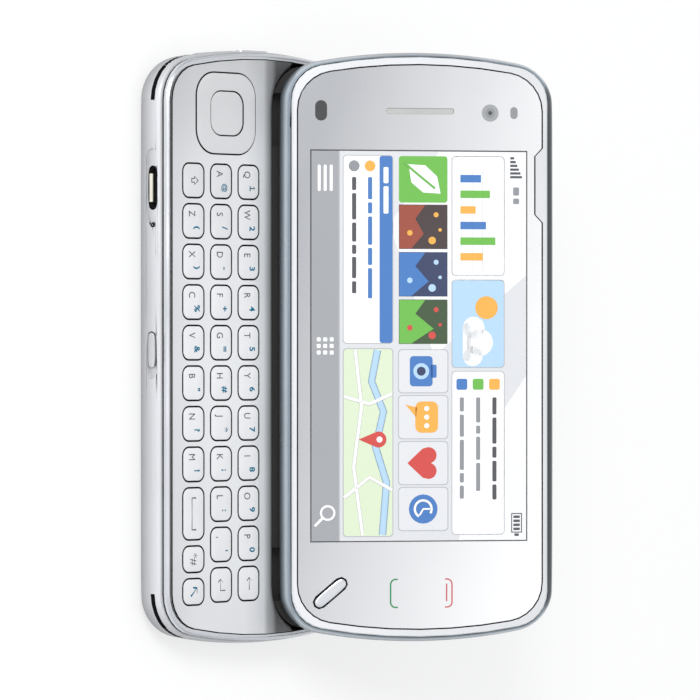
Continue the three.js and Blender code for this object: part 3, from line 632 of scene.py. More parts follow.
# %% One cap, shaped step by step
flange_height = 0.5 * mm
flange_reach = 0.3 * mm
extra_depth = 0.15 * mm
cap_drop = 0.15 * mm
cap_shift = 0.2 * mm
cap_shoulder = 0.24 * mm
cap_crown = 0.075 * mm
cap_steps = ((0.78, 1.0), (0.66, 0.7), (0.5, 0.3))
key_corner = 1.5 * mm
deck_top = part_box("keyboard_deck")[1].z
deck_level = deck_top / mm - 0.02


def cap_size(node):
    """Length and depth of a key's cap without its flange."""
    low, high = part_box(node)
    return high.x - low.x - 2 * flange_reach, high.y - low.y - 2 * flange_reach


def cap_blank(length, depth, low, high):
    """A flanged, shouldered and crowned cap, centred on the vertical axis."""
    top = high - 2 * cap_crown
    cap = rounded_block(length, depth, low + flange_height, top, key_corner)
    bpy.ops.mesh.select_all(action="SELECT")
    bpy.ops.mesh.bisect(plane_co=(0, 0, deck_level * mm), plane_no=(0, 0, 1))
    pick(cap, "FACE", lambda f: f.normal.z < -0.9)
    bpy.ops.mesh.extrude_region_move()
    grow = (1 + 2 * flange_reach / length, 1 + (2 * flange_reach - extra_depth) / depth, 1)
    bpy.ops.transform.resize(value=grow)
    bpy.ops.transform.translate(value=(0, -cap_shift, 0))
    extrude_up(-flange_height)
    crown(cap, top, cap_shoulder, [(share, rise * cap_crown) for share, rise in cap_steps])
    bpy.ops.mesh.select_all(action="SELECT")
    bpy.ops.mesh.normals_make_consistent(inside=False)
    out_of_edit_mode()
    fair(cap, 0)
    return cap


# %% A cap for every key of the keyboard
key_names = sorted(n for n in frame["nodes"] if n.startswith("key_"))
blanks = {}
for node in key_names:
    low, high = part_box(node)
    length, depth = cap_size(node)
    size = round(length / mm, 1)
    if size not in blanks:
        blanks[size] = cap_blank(length, depth + extra_depth, low.z, high.z - cap_drop)
    cap = add_object(f"{node}_cap", blanks[size].data.copy())
    move_to(cap, middle(low, high, cap_shift))
    seat(cap, node, key_plastic)
    # The skirt below the deck is painted dark: painted shade in the gap round the cap.
    paint_faces(cap, painted_gap_shade, lambda p, n: p.z < deck_level)
for blank in blanks.values():
    bpy.data.objects.remove(blank)
print("key caps:", len(key_names), "of lengths", sorted(blanks))

# %% [markdown]
# ## Printed legends
# Letters are printed in grey, and each key's second sign in blue. A letter is typed as a text
# curve and an arrow is drawn as a bent line; both become plates a few hundredths of a
# millimetre thick, sunk in the cap so that only their upper side shows, as print does.

# %% Typing and drawing
letter_ink = finish("legend_grey", (0.10, 0.105, 0.11), 0.6, glint=0.2)
sign_ink = finish("legend_blue", (0.0, 0.15, 0.26), 0.8, vary=0.0, glint=0.05)
capital_share = 0.73
print_depth = 0.06 * mm
print_lift = 0.006 * mm


def converted(obj, kind):
    activate(obj)
    bpy.ops.object.convert(target=kind)
    return bpy.context.active_object


def as_mesh(obj, material):
    obj = converted(obj, "MESH")
    clad(obj, material)
    return obj


def bent_line(name, points, closed):
    """A curve with one straight-sided spline through points given in millimetres."""
    curve = bpy.data.curves.new(name, "CURVE")
    spline = curve.splines.new("POLY")
    spline.points.add(len(points) - 1)
    for point, (x, y) in zip(spline.points, points):
        point.co = (x * mm, y * mm, 0, 1)
    spline.use_cyclic_u = closed
    return curve


def typed(body, height, ink, thicken=0.0, width=1.0):
    """A sign of the given capital height, its middle at the origin and its upper side at 0."""
    deselect()
    bpy.ops.object.text_add()
    sign = bpy.context.active_object
    sign.data.body = body
    sign.data.align_x = "CENTER"
    sign.data.size = height / capital_share
    sign.data.resolution_u = 3
    sign.data.offset = thicken
    sign.data.extrude = print_depth / 2
    sign.location = (0, -height / 2, -print_depth / 2)
    sign.scale = (width, 1, 1)
    sign = as_mesh(sign, ink)
    apply_place(sign)
    return sign


def stroke(points, width, ink, closed=False):
    """A round line along points in millimetres, flattened to the print's thickness."""
    curve = bent_line("stroke", points, closed)
    curve.dimensions = "3D"
    curve.bevel_depth = width / 2
    curve.bevel_resolution = 1
    curve.use_fill_caps = True
    drawn = as_mesh(add_object("stroke", curve), ink)
    drawn.scale = (1, 1, print_depth / width)
    move_to(drawn, (0, 0, -print_depth / 4))
    return drawn


# %% Every legend, by key
letter_height = 1.72 * mm
letter_width = 0.78
sign_height = 1.45 * mm
letter_place = (-0.22, -0.09)
sign_place = (0.19, 0.16)
bold = 0.05 * mm
signs = dict(zip("qwertyuiopasdfghjklzxcvbnm", "1234567890@/-+=#*;:()%&\"?!"))
figure_one = [(-0.5, -0.6), (0, -0.6), (0, 0.62), (-0.4, 0.3), (0, 0.62), (0, -0.6), (0.5, -0.6)]
pictograms = {
    "shift": (letter_ink, 0.34, True, [(0, 1.05), (0.8, 0.1), (0.36, 0.1), (0.36, -0.65),
                                       (-0.36, -0.65), (-0.36, 0.1), (-0.8, 0.1)]),
    "space": (letter_ink, 0.26, False, [(-3.1, 0.55), (-3.1, -0.55), (3.1, -0.55), (3.1, 0.55)]),
    "enter": (letter_ink, 0.26, False, [(1.1, 0.9), (1.1, -0.35), (-1.1, -0.35), (-0.5, 0.25),
                                        (-1.1, -0.35), (-0.5, -0.95)]),
    "backspace": (letter_ink, 0.26, False, [(1.2, 0), (-1.2, 0), (-0.55, 0.65), (-1.2, 0),
                                            (-0.55, -0.65)]),
    "function": (sign_ink, 0.4, False, [(0.85, -0.85), (-0.75, 0.75), (0.25, 0.8), (-0.75, 0.75),
                                        (-0.8, -0.25)]),
}


def print_on_key(mark, node, share):
    """Sets a print on its cap, at shares of the cap's length and depth from the middle."""
    low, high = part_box(node)
    length, depth = cap_size(node)
    x, y, _ = middle(low, high, cap_shift)
    move_to(mark, (x + share[0] * length, y + share[1] * depth, high.z - cap_drop + print_lift))
    return mark


def sign_mark(sign):
    """The second sign of a key; the thin ones are typed smaller and thicker, or drawn."""
    if sign == "1":
        return stroke(figure_one, 0.32 * mm, sign_ink)
    if sign == "@":
        return typed(sign, 0.84 * sign_height, sign_ink, 0.4 * bold)
    if sign in "()":
        return typed(sign, 0.84 * sign_height, sign_ink, 1.6 * bold)
    return typed(sign, sign_height, sign_ink, bold)


def legend_of(node):
    name = node.removeprefix("key_")
    if name in pictograms:
        ink, width, closed, points = pictograms[name]
        return [print_on_key(stroke(points, width * mm, ink, closed), node, (0, 0))]
    if name == "symbol":
        return [print_on_key(typed("*#", letter_height, letter_ink), node, (0, 0))]
    main, second = (",", "'") if name == "comma" else (name.upper(), signs[name])
    letter = typed(main, letter_height, letter_ink, width=letter_width)
    return [print_on_key(letter, node, letter_place),
            print_on_key(sign_mark(second), node, sign_place)]


for node in key_names:
    cap = bpy.data.objects[f"{node}_cap"]
    join_all([cap, *legend_of(node)])
print("legends printed:", len(key_names))

# %% [markdown]
# ## Direction pad
# The pad is a ring round the select key. Both are blocks with round corners; the ring's eye
# is cut by a block a little larger than the select key, so that an even gap stays.

# %% Pad and select key
seam = 0.25 * mm
pad_corner = 4.6 * mm
select_corner = 2.6 * mm
pad_shoulder = 0.12 * mm
pad_low, pad_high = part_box("direction_pad")
select_low, select_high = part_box("select_key")


def cut(obj, cutter):
    """Takes the cutter's volume out of obj and deletes the cutter."""
    boolean = obj.modifiers.new("cut", "BOOLEAN")
    boolean.object = cutter
    boolean.operation = "DIFFERENCE"
    boolean.solver = "EXACT"
    apply_modifiers(obj)
    bpy.data.objects.remove(cutter)


def crowned_block(name, low, high, corner, steps):
    """A rounded block over a box, whose top rises in steps of (share, rise in millimetres)."""
    top = high.z - sum(rise for _, rise in steps) * mm
    block = rounded_block(high.x - low.x, high.y - low.y, low.z, top, corner, steps=12)
    block.name = name
    crown(block, top, pad_shoulder, [(share, rise * mm) for share, rise in steps])
    out_of_edit_mode()
    move_to(block, middle(low, high))
    return block


def eye_cutter(low, high, corner):
    """A block for the select key's box, wider by the seam and a millimetre taller each way."""
    across, along = high.x - low.x + 2 * seam, high.y - low.y + 2 * seam
    block = rounded_block(across, along, low.z - mm, high.z + mm, corner + seam)
    out_of_edit_mode()
    move_to(block, middle(low, high))
    return block


pad = crowned_block("direction_pad_ring", pad_low, pad_high, pad_corner,
                    ((0.92, 0.09), (0.86, 0.07), (0.75, 0.04), (0.5, 0.02)))
cut(pad, eye_cutter(select_low, select_high, select_corner))
select = crowned_block("select_key_cap", select_low, select_high, select_corner,
                       ((0.8, 0.02), (0.5, 0.01)))
for piece, node in ((pad, "direction_pad"), (select, "select_key")):
    fair(piece, 0)
    seat(piece, node, key_plastic)
    # Upright walls are painted dark: painted shade in the pad's gaps.
    paint_faces(piece, painted_gap_shade, lambda p, n: is_upright(n))
print("pad ring polygons:", len(pad.data.polygons))

# %% [markdown]
# ## Keyboard deck
# The deck is one moulding that rolls over into the hollow behind the keys. Its holes must
# follow the caps' round corners, so smooth blocks cut each hole to its final shape.

# %% Deck with smooth holes
hole_gap = 0.275 * mm
trim_cut = 0.04 * mm
hole_break = 0.03 * mm


def hole_cutter(low, high, corner, grow, more=0.0, shift=0.0):
    """A rounded block that flares at the deck's top, so the hole gets a broken edge."""
    length = high.x - low.x + 2 * grow
    depth = high.y - low.y + 2 * grow + more
    cutter = rounded_block(length, depth, low.z - mm, deck_top - hole_break, corner + grow)
    pick(cutter, "FACE", lambda f: f.normal.z > 0.9)
    extrude_up(hole_break)
    bpy.ops.transform.resize(value=(1 + 2 * hole_break / length, 1 + 2 * hole_break / depth, 1))
    extrude_up(mm)
    out_of_edit_mode()
    move_to(cutter, middle(low, high, shift))
    return cutter


def hole_cutters():
    grow = hole_gap - flange_reach
    corner = key_corner + flange_reach
    cutters = [hole_cutter(*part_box(node), corner, grow, extra_depth, cap_shift)
               for node in key_names]
    cutters.append(hole_cutter(pad_low, pad_high, pad_corner, seam + trim_cut))
    return join_all(cutters)


deck = smooth_copy("keyboard_deck", 0)
cut(deck, hole_cutters())
fair(deck, 0)
seat(deck, "keyboard_deck", deck_paint)
# The holes' upright walls are painted dark: painted shade in the gaps round the keys.
paint_faces(deck, painted_gap_shade, lambda p, n: is_upright(n) and p.y < 0 and p.z < deck_level + 0.01)
print("deck polygons:", len(deck.data.polygons))

# %% [markdown]
# ## Painted shade round the deck
# A dark tube in the gap between the deck and the rim is painted shade, seen as a thin line. It
# follows the deck's own edge: that edge loop is kept, all else is deleted, and the loop gets a
# round section.

# %% The shade line, from the deck's edge loop
shade_line_radius = 0.17 * mm
shade_line_drop = 0.18 * mm
deck_shade_line = smooth_copy("keyboard_deck", 0, "deck_gap_painted_shade")
in_edit_mode(deck_shade_line)


def on_deck_edge(edge):
    """An edge of the deck's top that belongs to its outline and to no hole."""
    for vertex in edge.verts:
        x, y, z = vertex.co / mm
        if z < deck_level or not (abs(x) > 54.2 or y < -23.2 or (abs(x) > 51 and y < -21)):
            return False
    return any(is_upright(face.normal) for face in edge.link_faces)


pick(deck_shade_line, "EDGE", on_deck_edge)
bpy.ops.mesh.select_all(action="INVERT")
bpy.ops.mesh.delete(type="EDGE")
out_of_edit_mode()
deck_shade_line = converted(deck_shade_line, "CURVE")
deck_shade_line.data.bevel_depth = shade_line_radius
deck_shade_line.data.bevel_resolution = 1
deck_shade_line = converted(deck_shade_line, "MESH")
move_to(deck_shade_line, (0, 0, -shade_line_drop))
settle(deck_shade_line, "deck_gap_painted_shade", black_and_gap_shade, "base")
print("seal polygons:", len(deck_shade_line.data.polygons))

# %% [markdown]
# ## Hidden pieces
# The film under the keys, the board, the battery and the camera are seen only through gaps
# or with the cover off, so they keep their own meshes and take a fitting material.

# %% Materials for what lies inside
board_green = finish("board_green", (0.02, 0.12, 0.06), 0.45, coat=0.5)
inside = {"main_board": board_green, "dome_sheet": black_and_gap_shade, "battery": black_and_gap_shade,
          "camera_module": black_and_gap_shade, "display": black_and_gap_shade}
for node, material in inside.items():
    clad(frame["nodes"][node], material)
print("inner pieces clad:", len(inside))

# %% [markdown]
# ## The lid's own plane
# Everything on the lid's face is drawn flat, as on a desk: x to the right, u up the lid from
# its lower edge, and the height above the face. One matrix then lays it on the tilted lid.

# %% From the flat drawing to the tilted face
window_inset = 3.1 * mm
press = next(joint for joint in frame["joints"] if joint["name"] == "menu_key_press")
normal = -Vector(press["axis"])
tilt = math.atan2(-normal.y, normal.z)
window_low, window_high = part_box("front_window")
# The window is a tilted plate, so its box's height and depth together give its thickness.
span = window_high - window_low
double = math.cos(2 * tilt)
window_thickness = (span.z * math.cos(tilt) - span.y * math.sin(tilt)) / double
edge_z = window_low.z + window_thickness * math.cos(tilt)
face = Matrix.Translation((0, window_low.y, edge_z)) @ Matrix.Rotation(tilt, 4, "X")
face = face @ Matrix.Translation((0, -window_inset, 0))
print("lid tilt:", round(math.degrees(tilt), 2))
print("window thickness:", round(window_thickness / mm, 3))


def lay_on_face(obj):
    apply_place(obj)
    obj.data.transform(face)
    return obj


# %% [markdown]
# ## Window with a recess for the screen
# The screen's picture lies a hair under the glass. Here the window gets a shallow recess of
# the screen's size, and the picture is laid in it, so no step shows from any side.

# %% The window and its recess
screen_centre = (-0.2 * mm, 27.42 * mm)
screen_size = (77.6 * mm, 43.8 * mm)
recess_depth = 0.12 * mm


def slab(centre, size, corner, top, thickness, steps=4):
    """A thin plate with round corners, its upper side at the height top."""
    deselect()
    bpy.ops.mesh.primitive_plane_add(size=1, location=(*centre, top - thickness))
    plate = bpy.context.active_object
    plate.scale = (*size, 1)
    apply_place(plate)
    in_edit_mode(plate)
    if corner:
        bpy.ops.mesh.bevel(offset=corner, segments=steps, affect="VERTICES")
    extrude_up(thickness)
    bpy.ops.mesh.select_all(action="SELECT")
    bpy.ops.mesh.normals_make_consistent(inside=False)
    out_of_edit_mode()
    return plate


window = smooth_copy("front_window", 0)
recess = slab(screen_centre, screen_size, 0, mm, mm + recess_depth)
cut(window, lay_on_face(recess))
fair(window, 0.05 * mm)
seat(window, "front_window", window_print)

# %% Plain colours of the screen


def lit(name, colour, glow=0.12):
    """A plain colour under glass that also shines a little by itself."""
    material = finish(name, colour, 0.3, coat=1.0, bump=0.0, vary=0.0)
    set_inputs(shader_of(material), {"Coat Roughness": glass_roughness, "Emission Strength": glow,
                                     "Emission Color": (*colour, 1)})
    return material


screen_colours = {
    "sky": (0.66, 0.67, 0.69), "painted_glare": (0.82, 0.83, 0.84), "bar": (0.33, 0.34, 0.36),
    "edge": (0.42, 0.43, 0.45), "tile": (0.70, 0.71, 0.73), "white": (0.90, 0.91, 0.92),
    "pale": (0.66, 0.68, 0.70), "grey": (0.25, 0.26, 0.28), "dark": (0.06, 0.062, 0.07),
    "blue": (0.04, 0.17, 0.48), "air": (0.42, 0.62, 0.82), "ink_blue": (0.015, 0.03, 0.10),
    "green": (0.13, 0.45, 0.05), "meadow": (0.66, 0.76, 0.55), "moss": (0.03, 0.07, 0.02),
    "orange": (0.82, 0.40, 0.05), "ember": (0.30, 0.05, 0.02), "red": (0.60, 0.05, 0.04),
    "night": (0.04, 0.02, 0.02),
}
ink = {name: lit(f"screen_{name}", colour) for name, colour in screen_colours.items()}
ink["line"] = lit("screen_line", (0.01, 0.01, 0.012), glow=0)
print("screen colours:", len(ink))

# %% [markdown]
# ## The screen's picture
# The picture is a home screen of plain widgets: panels, bars that stand for text, a chart, a
# map and a few icons. Each is a very thin plate or line, and later layers lie a little higher.

# %% Plates, shapes, lines and bars
picture = []
layer = 0.012 * mm
first_layer = -recess_depth + 0.03 * mm
plate_thickness = 0.01 * mm


def layer_top(level):
    """Height of a layer's upper side; the first lies a hair over the recess."""
    return first_layer + level * layer


def on_screen(colour, x, y, width, height, corner=0.0, level=4):
    """A plate of the picture, placed from the screen's middle in millimetres."""
    centre = (screen_centre[0] + x * mm, screen_centre[1] + y * mm)
    size = (width * mm, height * mm)
    plate = slab(centre, size, corner * mm, layer_top(level), plate_thickness)
    plate.data.materials.append(ink[colour])
    picture.append(plate)


def shape(colour, points, level=4):
    """A filled outline through points in millimetres."""
    curve = bent_line("shape", points, True)
    curve.dimensions = "2D"
    curve.fill_mode = "BOTH"
    curve.extrude = plate_thickness / 2
    area = as_mesh(add_object("shape", curve), ink[colour])
    move_to(area, (*screen_centre, layer_top(level) - plate_thickness / 2))
    picture.append(area)


def line(colour, points, width, level=4, closed=False):
    drawn = stroke(points, width * mm, ink[colour], closed)
    drawn.scale = (1, 1, plate_thickness / print_depth)
    move_to(drawn, (*screen_centre, layer_top(level)))
    picture.append(drawn)


def round_points(x, y, radius, start=0, stop=360, steps=20):
    turns = [math.radians(start + (stop - start) * i / steps) for i in range(steps + 1)]
    return [(x + radius * math.cos(turn), y + radius * math.sin(turn)) for turn in turns]


def disc(colour, x, y, radius, level=4):
    shape(colour, round_points(x, y, radius)[:-1], level)


def words(colour, x, y, lengths, height=0.85, level=4):
    """A row of bars that reads as a line of text from afar."""
    for length in lengths:
        on_screen(colour, x + length / 2, y, length, height, 0.25, level)
        x += length + 0.6


def panel(x, y, width, height, colour="white"):
    on_screen("edge", x, y, width + 0.35, height + 0.35, 0.8, 2)
    on_screen(colour, x, y, width, height, 0.7, 3)


# %% Background, status bar and menu bar
on_screen("line", 0, 0, 77.5, 43.7, level=0)
on_screen("sky", 0, 0, 77.1, 43.3, level=1)
# Two paler shapes over the background are painted reflections of glare on the glass.
shape("painted_glare", [(-38.5, 21.6), (-14, 21.6), (2, 3), (-24, -6), (-38.5, 4)], level=2)
shape("painted_glare", [(6, 21.6), (38.5, 21.6), (38.5, 8), (20, 12)], level=2)
on_screen("bar", 0, -18.9, 77.1, 5.5, level=2)
on_screen("edge", 0, -16.1, 77.1, 0.25, level=3)
for step in range(6):
    on_screen("dark", -37.3 + 0.75 * step, 18.8 + 0.16 * step, 0.45, 0.8 + 0.32 * step)
words("grey", -31.5, 19.6, [1.6, 1.1], 1.2)
line("dark", [(33.3, 18.7), (37, 18.7), (37, 20.7), (33.3, 20.7)], 0.28, closed=True)
on_screen("dark", 37.5, 19.7, 0.5, 0.9)
for step in range(4):
    on_screen("dark", 33.95 + 0.8 * step, 19.7, 0.5, 1.3)
for row in range(3):
    on_screen("white", -33.2, -17.7 - 1.2 * row, 5.2, 0.6, 0.25)
    for column in range(3):
        on_screen("white", -1.3 + 1.3 * column, -17.6 - 1.3 * row, 0.8, 0.8, 0.2)
line("white", round_points(33, -18.4, 1.35), 0.5, closed=True)
line("white", [(34.0, -19.4), (35.6, -21)], 0.6)

# %% Upper row: chart, weather and list
panel(-25.8, 11.9, 23.4, 10.4)
for step in range(4):
    on_screen("pale", -24.9, 8.6 + 2.1 * step, 19.6, 0.18)
for step, (colour, height) in enumerate((("blue", 4.2), ("green", 6.0), ("orange", 3.1),
                                         ("blue", 5.2), ("green", 7.1), ("orange", 4.6))):
    on_screen(colour, -33.2 + 3.1 * step, 8.3 + height / 2, 1.5, height, 0.15, 5)
panel(-4.4, 11.9, 17.2, 10.4, "air")
disc("orange", -7.6, 13.6, 2.3)
for x, y, radius in ((-3.6, 11.0, 2.2), (-0.7, 12.2, 2.7), (2.0, 10.8, 2.0)):
    disc("white", x, y, radius, 5)
on_screen("white", -0.8, 9.6, 7.6, 1.6, 0.7, 5)
panel(21.2, 11.9, 32.2, 10.4)
for row, (colour, lengths) in enumerate((("orange", [3.4, 5.2, 2.2, 4.1, 3.0]),
                                         ("green", [5.0, 1.6, 4.6, 5.6]),
                                         ("blue", [2.8, 4.4, 6.0, 1.9, 2.6]))):
    y = 15.2 - 3.3 * row
    on_screen(colour, 7.6, y, 2.2, 2.2, 0.4)
    words("dark" if row == 0 else "grey", 10.2, y, lengths)

# %% Middle row: leaf tile, night pictures and four icons
on_screen("green", -33.0, 0.8, 9.2, 9.8, 0.6, 3)
shape("white", [(-36, -2.4), (-35.8, 1.2), (-33.6, 3.6), (-30.2, 4.3), (-30.4, 0.8), (-32.4, -1.6),
                (-35, -2.0)])
line("green", [(-36.4, -3.2), (-33.6, 0.2), (-31.2, 3.2)], 0.45, 5)
for column, (ground, glow, spark) in enumerate((("night", "ember", "orange"),
                                                ("ink_blue", "blue", "air"),
                                                ("moss", "green", "red"))):
    x = -23.6 + 9.4 * column
    on_screen(ground, x, 0.8, 8.8, 9.8, 0.0, 3)
    shape(glow, [(x - 4.3, -4), (x + 4.3, -4), (x + 4.3, -1.6), (x + 1.4, 0.9 + column),
                 (x - 1.6, -0.8), (x - 4.3, 1.2)])
    for dx, dy, radius in ((-2.4, 3.4, 0.5), (0.6, 4.2, 0.35), (2.7, 2.6, 0.75), (1.2, -1.9, 0.55)):
        disc(spark, x + dx, dy, radius, 5)
for column in range(4):
    panel(5.0 + 9.1 * column, 0.8, 8.4, 9.8, "tile")
on_screen("blue", 5.0, 0.4, 6.0, 4.6, 0.7)
on_screen("blue", 5.0, 2.9, 2.6, 1.2, 0.3)
disc("air", 5.0, 0.4, 1.6, 5)
disc("ink_blue", 5.0, 0.4, 0.9, 6)
on_screen("orange", 14.1, 1.5, 6.2, 4.6, 1.2)
shape("orange", [(12.2, -0.4), (14.2, -0.6), (11.6, -2.8)])
for step in range(3):
    disc("white", 12.4 + 1.7 * step, 1.5, 0.5, 5)
heart = [(23.2, -2.4), (20.3, 0.7), *round_points(21.65, 1.9, 1.6, 200, 20, 10),
         *round_points(24.75, 1.9, 1.6, 160, -20, 10), (26.1, 0.7)]
shape("red", heart)
disc("blue", 32.3, 0.8, 2.9)
line("white", round_points(32.3, 0.8, 1.7, 60, 330), 0.5, 5)
line("white", [(32.3, 2.2), (32.3, 0.8), (33.5, 0.1)], 0.4, 6)

# %% Lower row: messages and map
panel(-19.1, -10.3, 37.0, 9.8)
on_screen("blue", -19.1, -6.7, 37.0, 2.6, 0.5)
words("white", -35.4, -6.7, [3.2, 5.4], 1.0, 5)
for row, (dot, lengths) in enumerate((("orange", [4.4, 2.2, 5.6, 3.4, 6.0]),
                                      ("grey", [2.6, 5.2, 3.8, 1.8, 4.2, 2.4]))):
    y = -9.9 - 3.2 * row
    disc(dot, -35.6, y, 1.1)
    words("blue" if row == 0 else "dark", -33.4, y, lengths)
panel(19.1, -10.3, 37.0, 9.8, "meadow")
line("air", [(0.8, -8.4), (7, -9.6), (13, -7.2), (20, -8.8), (27, -6.6), (37.4, -7.4)], 1.5)
for road in ([(0.8, -12.9), (12, -11.6), (24, -13.2), (37.4, -11.4)],
             [(9.5, -5.5), (11.5, -10), (10, -15.1)], [(28.5, -5.5), (26, -10), (30, -15.1)]):
    line("white", road, 0.75, 5)
shape("red", [(18.5, -12.2), (17.1, -8.9), *round_points(18.5, -8.2, 1.6, 200, -20, 10),
              (19.9, -8.9)], 6)
disc("white", 18.5, -8.0, 0.6, 7)

screen = join_all(picture)
screen.name = "screen_picture"
lay_on_face(screen)
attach(screen, "lid")
print("screen picture polygons:", len(screen.data.polygons))

# %% [markdown]
# ## Small parts of the lid's face
# A dark window hides the proximity sensor, a ringed lens is the front camera, a grey dot is
# the light sensor, and a fine mesh closes the earpiece. The call marks are printed in colour.

# %% Sensors, front camera, earpiece mesh and call marks
smoked_black = finish("smoked_window", (0.035, 0.037, 0.04), 0.2, coat=1.0, bump=0.0)
sensor_grey = finish("sensor_grey", (0.27, 0.28, 0.285), 0.3, coat=0.8, bump=0.0)
camera_ring = finish("camera_ring", (0.36, 0.37, 0.38), 0.35, metal=0.3, coat=0.6, bump=0.0)
lens_dark = finish("lens_black", (0.06, 0.062, 0.068), 0.12, coat=1.0, bump=0.0)
mesh_metal = finish("earpiece_mesh", (0.46, 0.47, 0.45), 0.4, metal=0.5, grain_size=0.08, bump=0.06)
call_green = finish("call_green", (0.015, 0.27, 0.09), 0.4, bump=0.0)
call_red = finish("call_red", (0.62, 0.10, 0.10), 0.4, bump=0.0)
thin_plate = 0.06 * mm
round_end = 0.49


def on_face(obj, name, material):
    lay_on_face(obj)
    settle(obj, name, material, "lid")


def face_pill(name, x, u, size, top, material):
    """A thin plate with round ends, sized in millimetres; top is its height over the glass."""
    place = (x * mm, u * mm)
    extent = (size[0] * mm, size[1] * mm)
    plate = slab(place, extent, min(size) * round_end * mm, top * mm, thin_plate, steps=8)
    on_face(plate, name, material)


face_pill("proximity_window", -46.7, 7.69, (4.03, 2.39), 0.008, smoked_black)
face_pill("light_sensor", -46.5, 46.58, (2.38, 1.47), 0.008, sensor_grey)
face_pill("earpiece_grille", -46.7, 27.6, (1.1, 13.6), -0.2, mesh_metal)
for name, size, top, material in (("front_camera_ring", 3.41, 0.008, camera_ring),
                                  ("front_camera_well", 1.9, 0.014, sensor_grey),
                                  ("front_camera_lens", 0.8, 0.02, lens_dark)):
    face_pill(name, -46.46, 41.75, (size, size), top, material)


def call_mark(name, lines, width, material):
    mark = join_all([stroke(points, width * mm, material) for points in lines])
    mark.location = (0, 0, print_lift)
    on_face(mark, name, material)


def bracket(side, ends, radius=1.0, low=46.0, high=51.55):
    """Outline of a bracket whose long side runs along x at u = side."""
    turn = 1 if ends > side else -1
    inner = side + turn * radius
    first = [(low + radius - radius * math.sin(t), inner - turn * radius * math.cos(t))
             for t in (math.radians(a) for a in range(90, -1, -15))]
    second = [(low + high - x, u) for x, u in reversed(first)]
    return [(low, ends), *first, *second, (high, ends)]


call_mark("send_mark", [bracket(21.64, 23.1)], 0.36, call_green)
call_mark("end_mark", [bracket(34.02, 32.6), [(46.9, 32.94), (50.4, 32.94)]], 0.34, call_red)

# %% [markdown]
# ## Small parts of the user-side wall
# The charging light is a clear rod behind a small hole, the socket's tongue is a cream plate in
# its mouth, and a dark line along the lock slider's upper side is painted shadow in its gap. All
# three are drawn flat, like the lid's parts, and then turned to face the user.

# %% Charging light, socket's tongue and the painted shadow above the lock slider
wall_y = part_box("base_shell")[0].y
wall = Matrix.Translation((0, wall_y, 0)) @ Matrix.Rotation(math.pi / 2, 4, "X")
light_clear = finish("light_rod_clear", (0.16, 0.16, 0.17), 0.25, coat=1.0, bump=0.0)


def on_wall(obj, name, material):
    apply_place(obj)
    obj.data.transform(wall)
    settle(obj, name, material, "base")


light_place = ((socket_x + 7.2) * mm, 5.8 * mm)
for name, size, top, material in (("charging_light_rim", 0.96, -0.08, black_and_gap_shade),
                                  ("charging_light_rod", 0.4, -0.05, light_clear)):
    extent = (size * mm, size * mm)
    plate = slab(light_place, extent, size * round_end * mm, top * mm, 0.1 * mm, steps=8)
    on_wall(plate, name, material)
tongue = slab((socket_x * mm, 5.22 * mm), (5.5 * mm, 0.68 * mm), 0.12 * mm, -0.14 * mm, 0.3 * mm)
on_wall(tongue, "socket_tongue_front", cream_plastic)
slider_x, slider_z = 0.6, 5.4
end_radius = 0.98
reach = 3.45 - end_radius
arcs = ((slider_x - reach, 175, 90, 10), (slider_x + reach, 90, 55, 4))
shadow_points = [point for x, start, stop, steps in arcs
              for point in round_points(x, slider_z, end_radius, start, stop, steps)]
# Painted shadow: a black line in the gap along the slider's upper side.
gap = stroke(shadow_points, 0.26 * mm, black_and_gap_shade)
gap.location = (0, 0, -0.2 * mm)
on_wall(gap, "lock_slider_painted_shadow", black_and_gap_shade)
print("the wall's small parts lie at y =", round(wall_y / mm, 2))

# %% [markdown]
# ## Camera
# The camera looks down at 45 degrees, squarely across the keyboard, and is turned so that the
# phone's length runs down the picture. Distance and lens come from the photo's proportions.

# %% Camera
target = Vector((0.6 * mm, 16.2 * mm, 16.2 * mm))
distance = 950 * mm
forward = Vector((0, 1, -1)).normalized()
picture_up = Vector((-1, 0, 0))
right = forward.cross(picture_up)
camera = add_object("camera", bpy.data.cameras.new("camera"))
camera.data.sensor_width = 36
camera.data.lens = 245.6
camera.data.clip_start = 0.01
camera.matrix_world = Matrix.Translation(target - distance * forward) @ Matrix(
    (right, picture_up, -forward)).transposed().to_4x4()
scene.camera = camera
print("camera at", in_mm(camera.matrix_world.translation))

# %% [markdown]
# ## Soft light
# A pale sky, darker towards the ground, lights the phone from all round, and one soft lamp over
# the user's left shoulder gives the shadows a side. Both are too weak to clip the white paint.

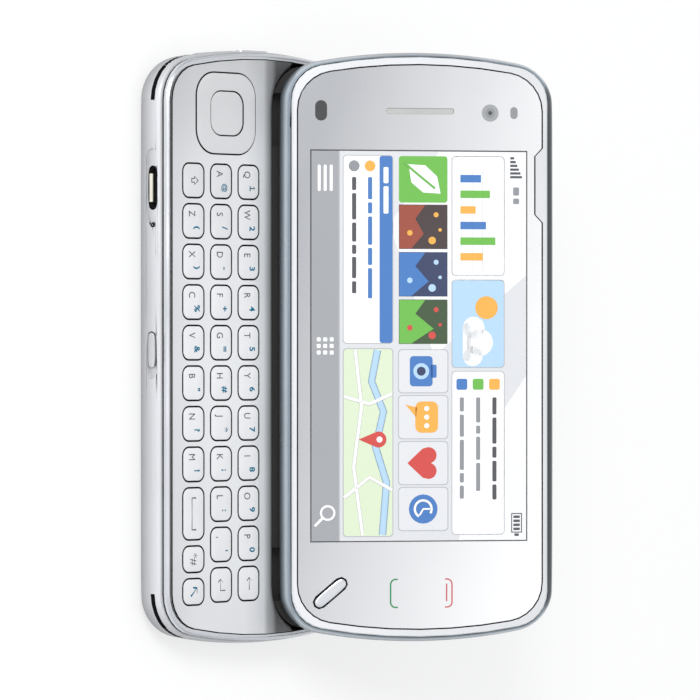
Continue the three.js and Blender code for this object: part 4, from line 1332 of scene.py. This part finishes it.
# %% Sky and lamp
world = bpy.data.worlds.new("studio")
scene.world = world
world.use_nodes = True
sky = world.node_tree
background = sky.nodes["Background"]
background.inputs["Strength"].default_value = 0.8
direction = add_node(sky, "TexCoord")
axes = add_node(sky, "SeparateXYZ")
ramp = add_node(sky, "ValToRGB")
wire(sky, (direction, "Generated", axes, "Vector"), (axes, "Z", ramp, "Fac"),
     (ramp, "Color", background, "Color"))
low_sky, high_sky = ramp.color_ramp.elements
low_sky.position = 0.0
low_sky.color = (0.45, 0.47, 0.5, 1)
high_sky.position = 0.6
high_sky.color = (0.95, 0.96, 0.98, 1)

lamp = add_object("softbox", bpy.data.lights.new("softbox", "AREA"))
lamp.data.size = 0.35
lamp.data.energy = 4.6
lamp.location = (-0.42, -0.58, 0.66)
lamp.rotation_euler = (-lamp.location).to_track_quat("-Z", "Y").to_euler()
print("lamp:", lamp.data.energy, "W")

# %% [markdown]
# ## A pale floor
# The floor keeps the phone's shadow. For the camera alone it also glows a little, which makes
# the ground as white as a studio's sweep without more light on the phone.

# %% The floor
deselect()
bpy.ops.mesh.primitive_plane_add(size=6, location=(0, 0, cad_box[0].z))
floor = bpy.context.active_object
floor.name = "floor"
floor_paint = bpy.data.materials.new("floor_white")
floor_paint.use_nodes = True
tree = floor_paint.node_tree
paint = shader_of(floor_paint)
set_inputs(paint, {"Base Color": (0.86, 0.86, 0.86, 1), "Roughness": 0.9})
glow = add_node(tree, "Emission", {"Strength": 1.1})
rays = add_node(tree, "LightPath")
share = add_node(tree, "Math", {1: 0.6}, operation="MULTIPLY")
blend = add_node(tree, "MixShader")
wire(tree, (rays, "Is Camera Ray", share, 0), (share, "Value", blend, "Fac"),
     (paint, "BSDF", blend, 1), (glow, "Emission", blend, 2),
     (blend, "Shader", tree.nodes["Material Output"], "Surface"))
floor.data.materials.append(floor_paint)
scene.view_settings.view_transform = "Standard"
print("the floor lies at z =", cad_box[0].z)

# %% The sizes, for comparison with the construction model
print("cad box:", [in_mm(corner) for corner in cad_box])
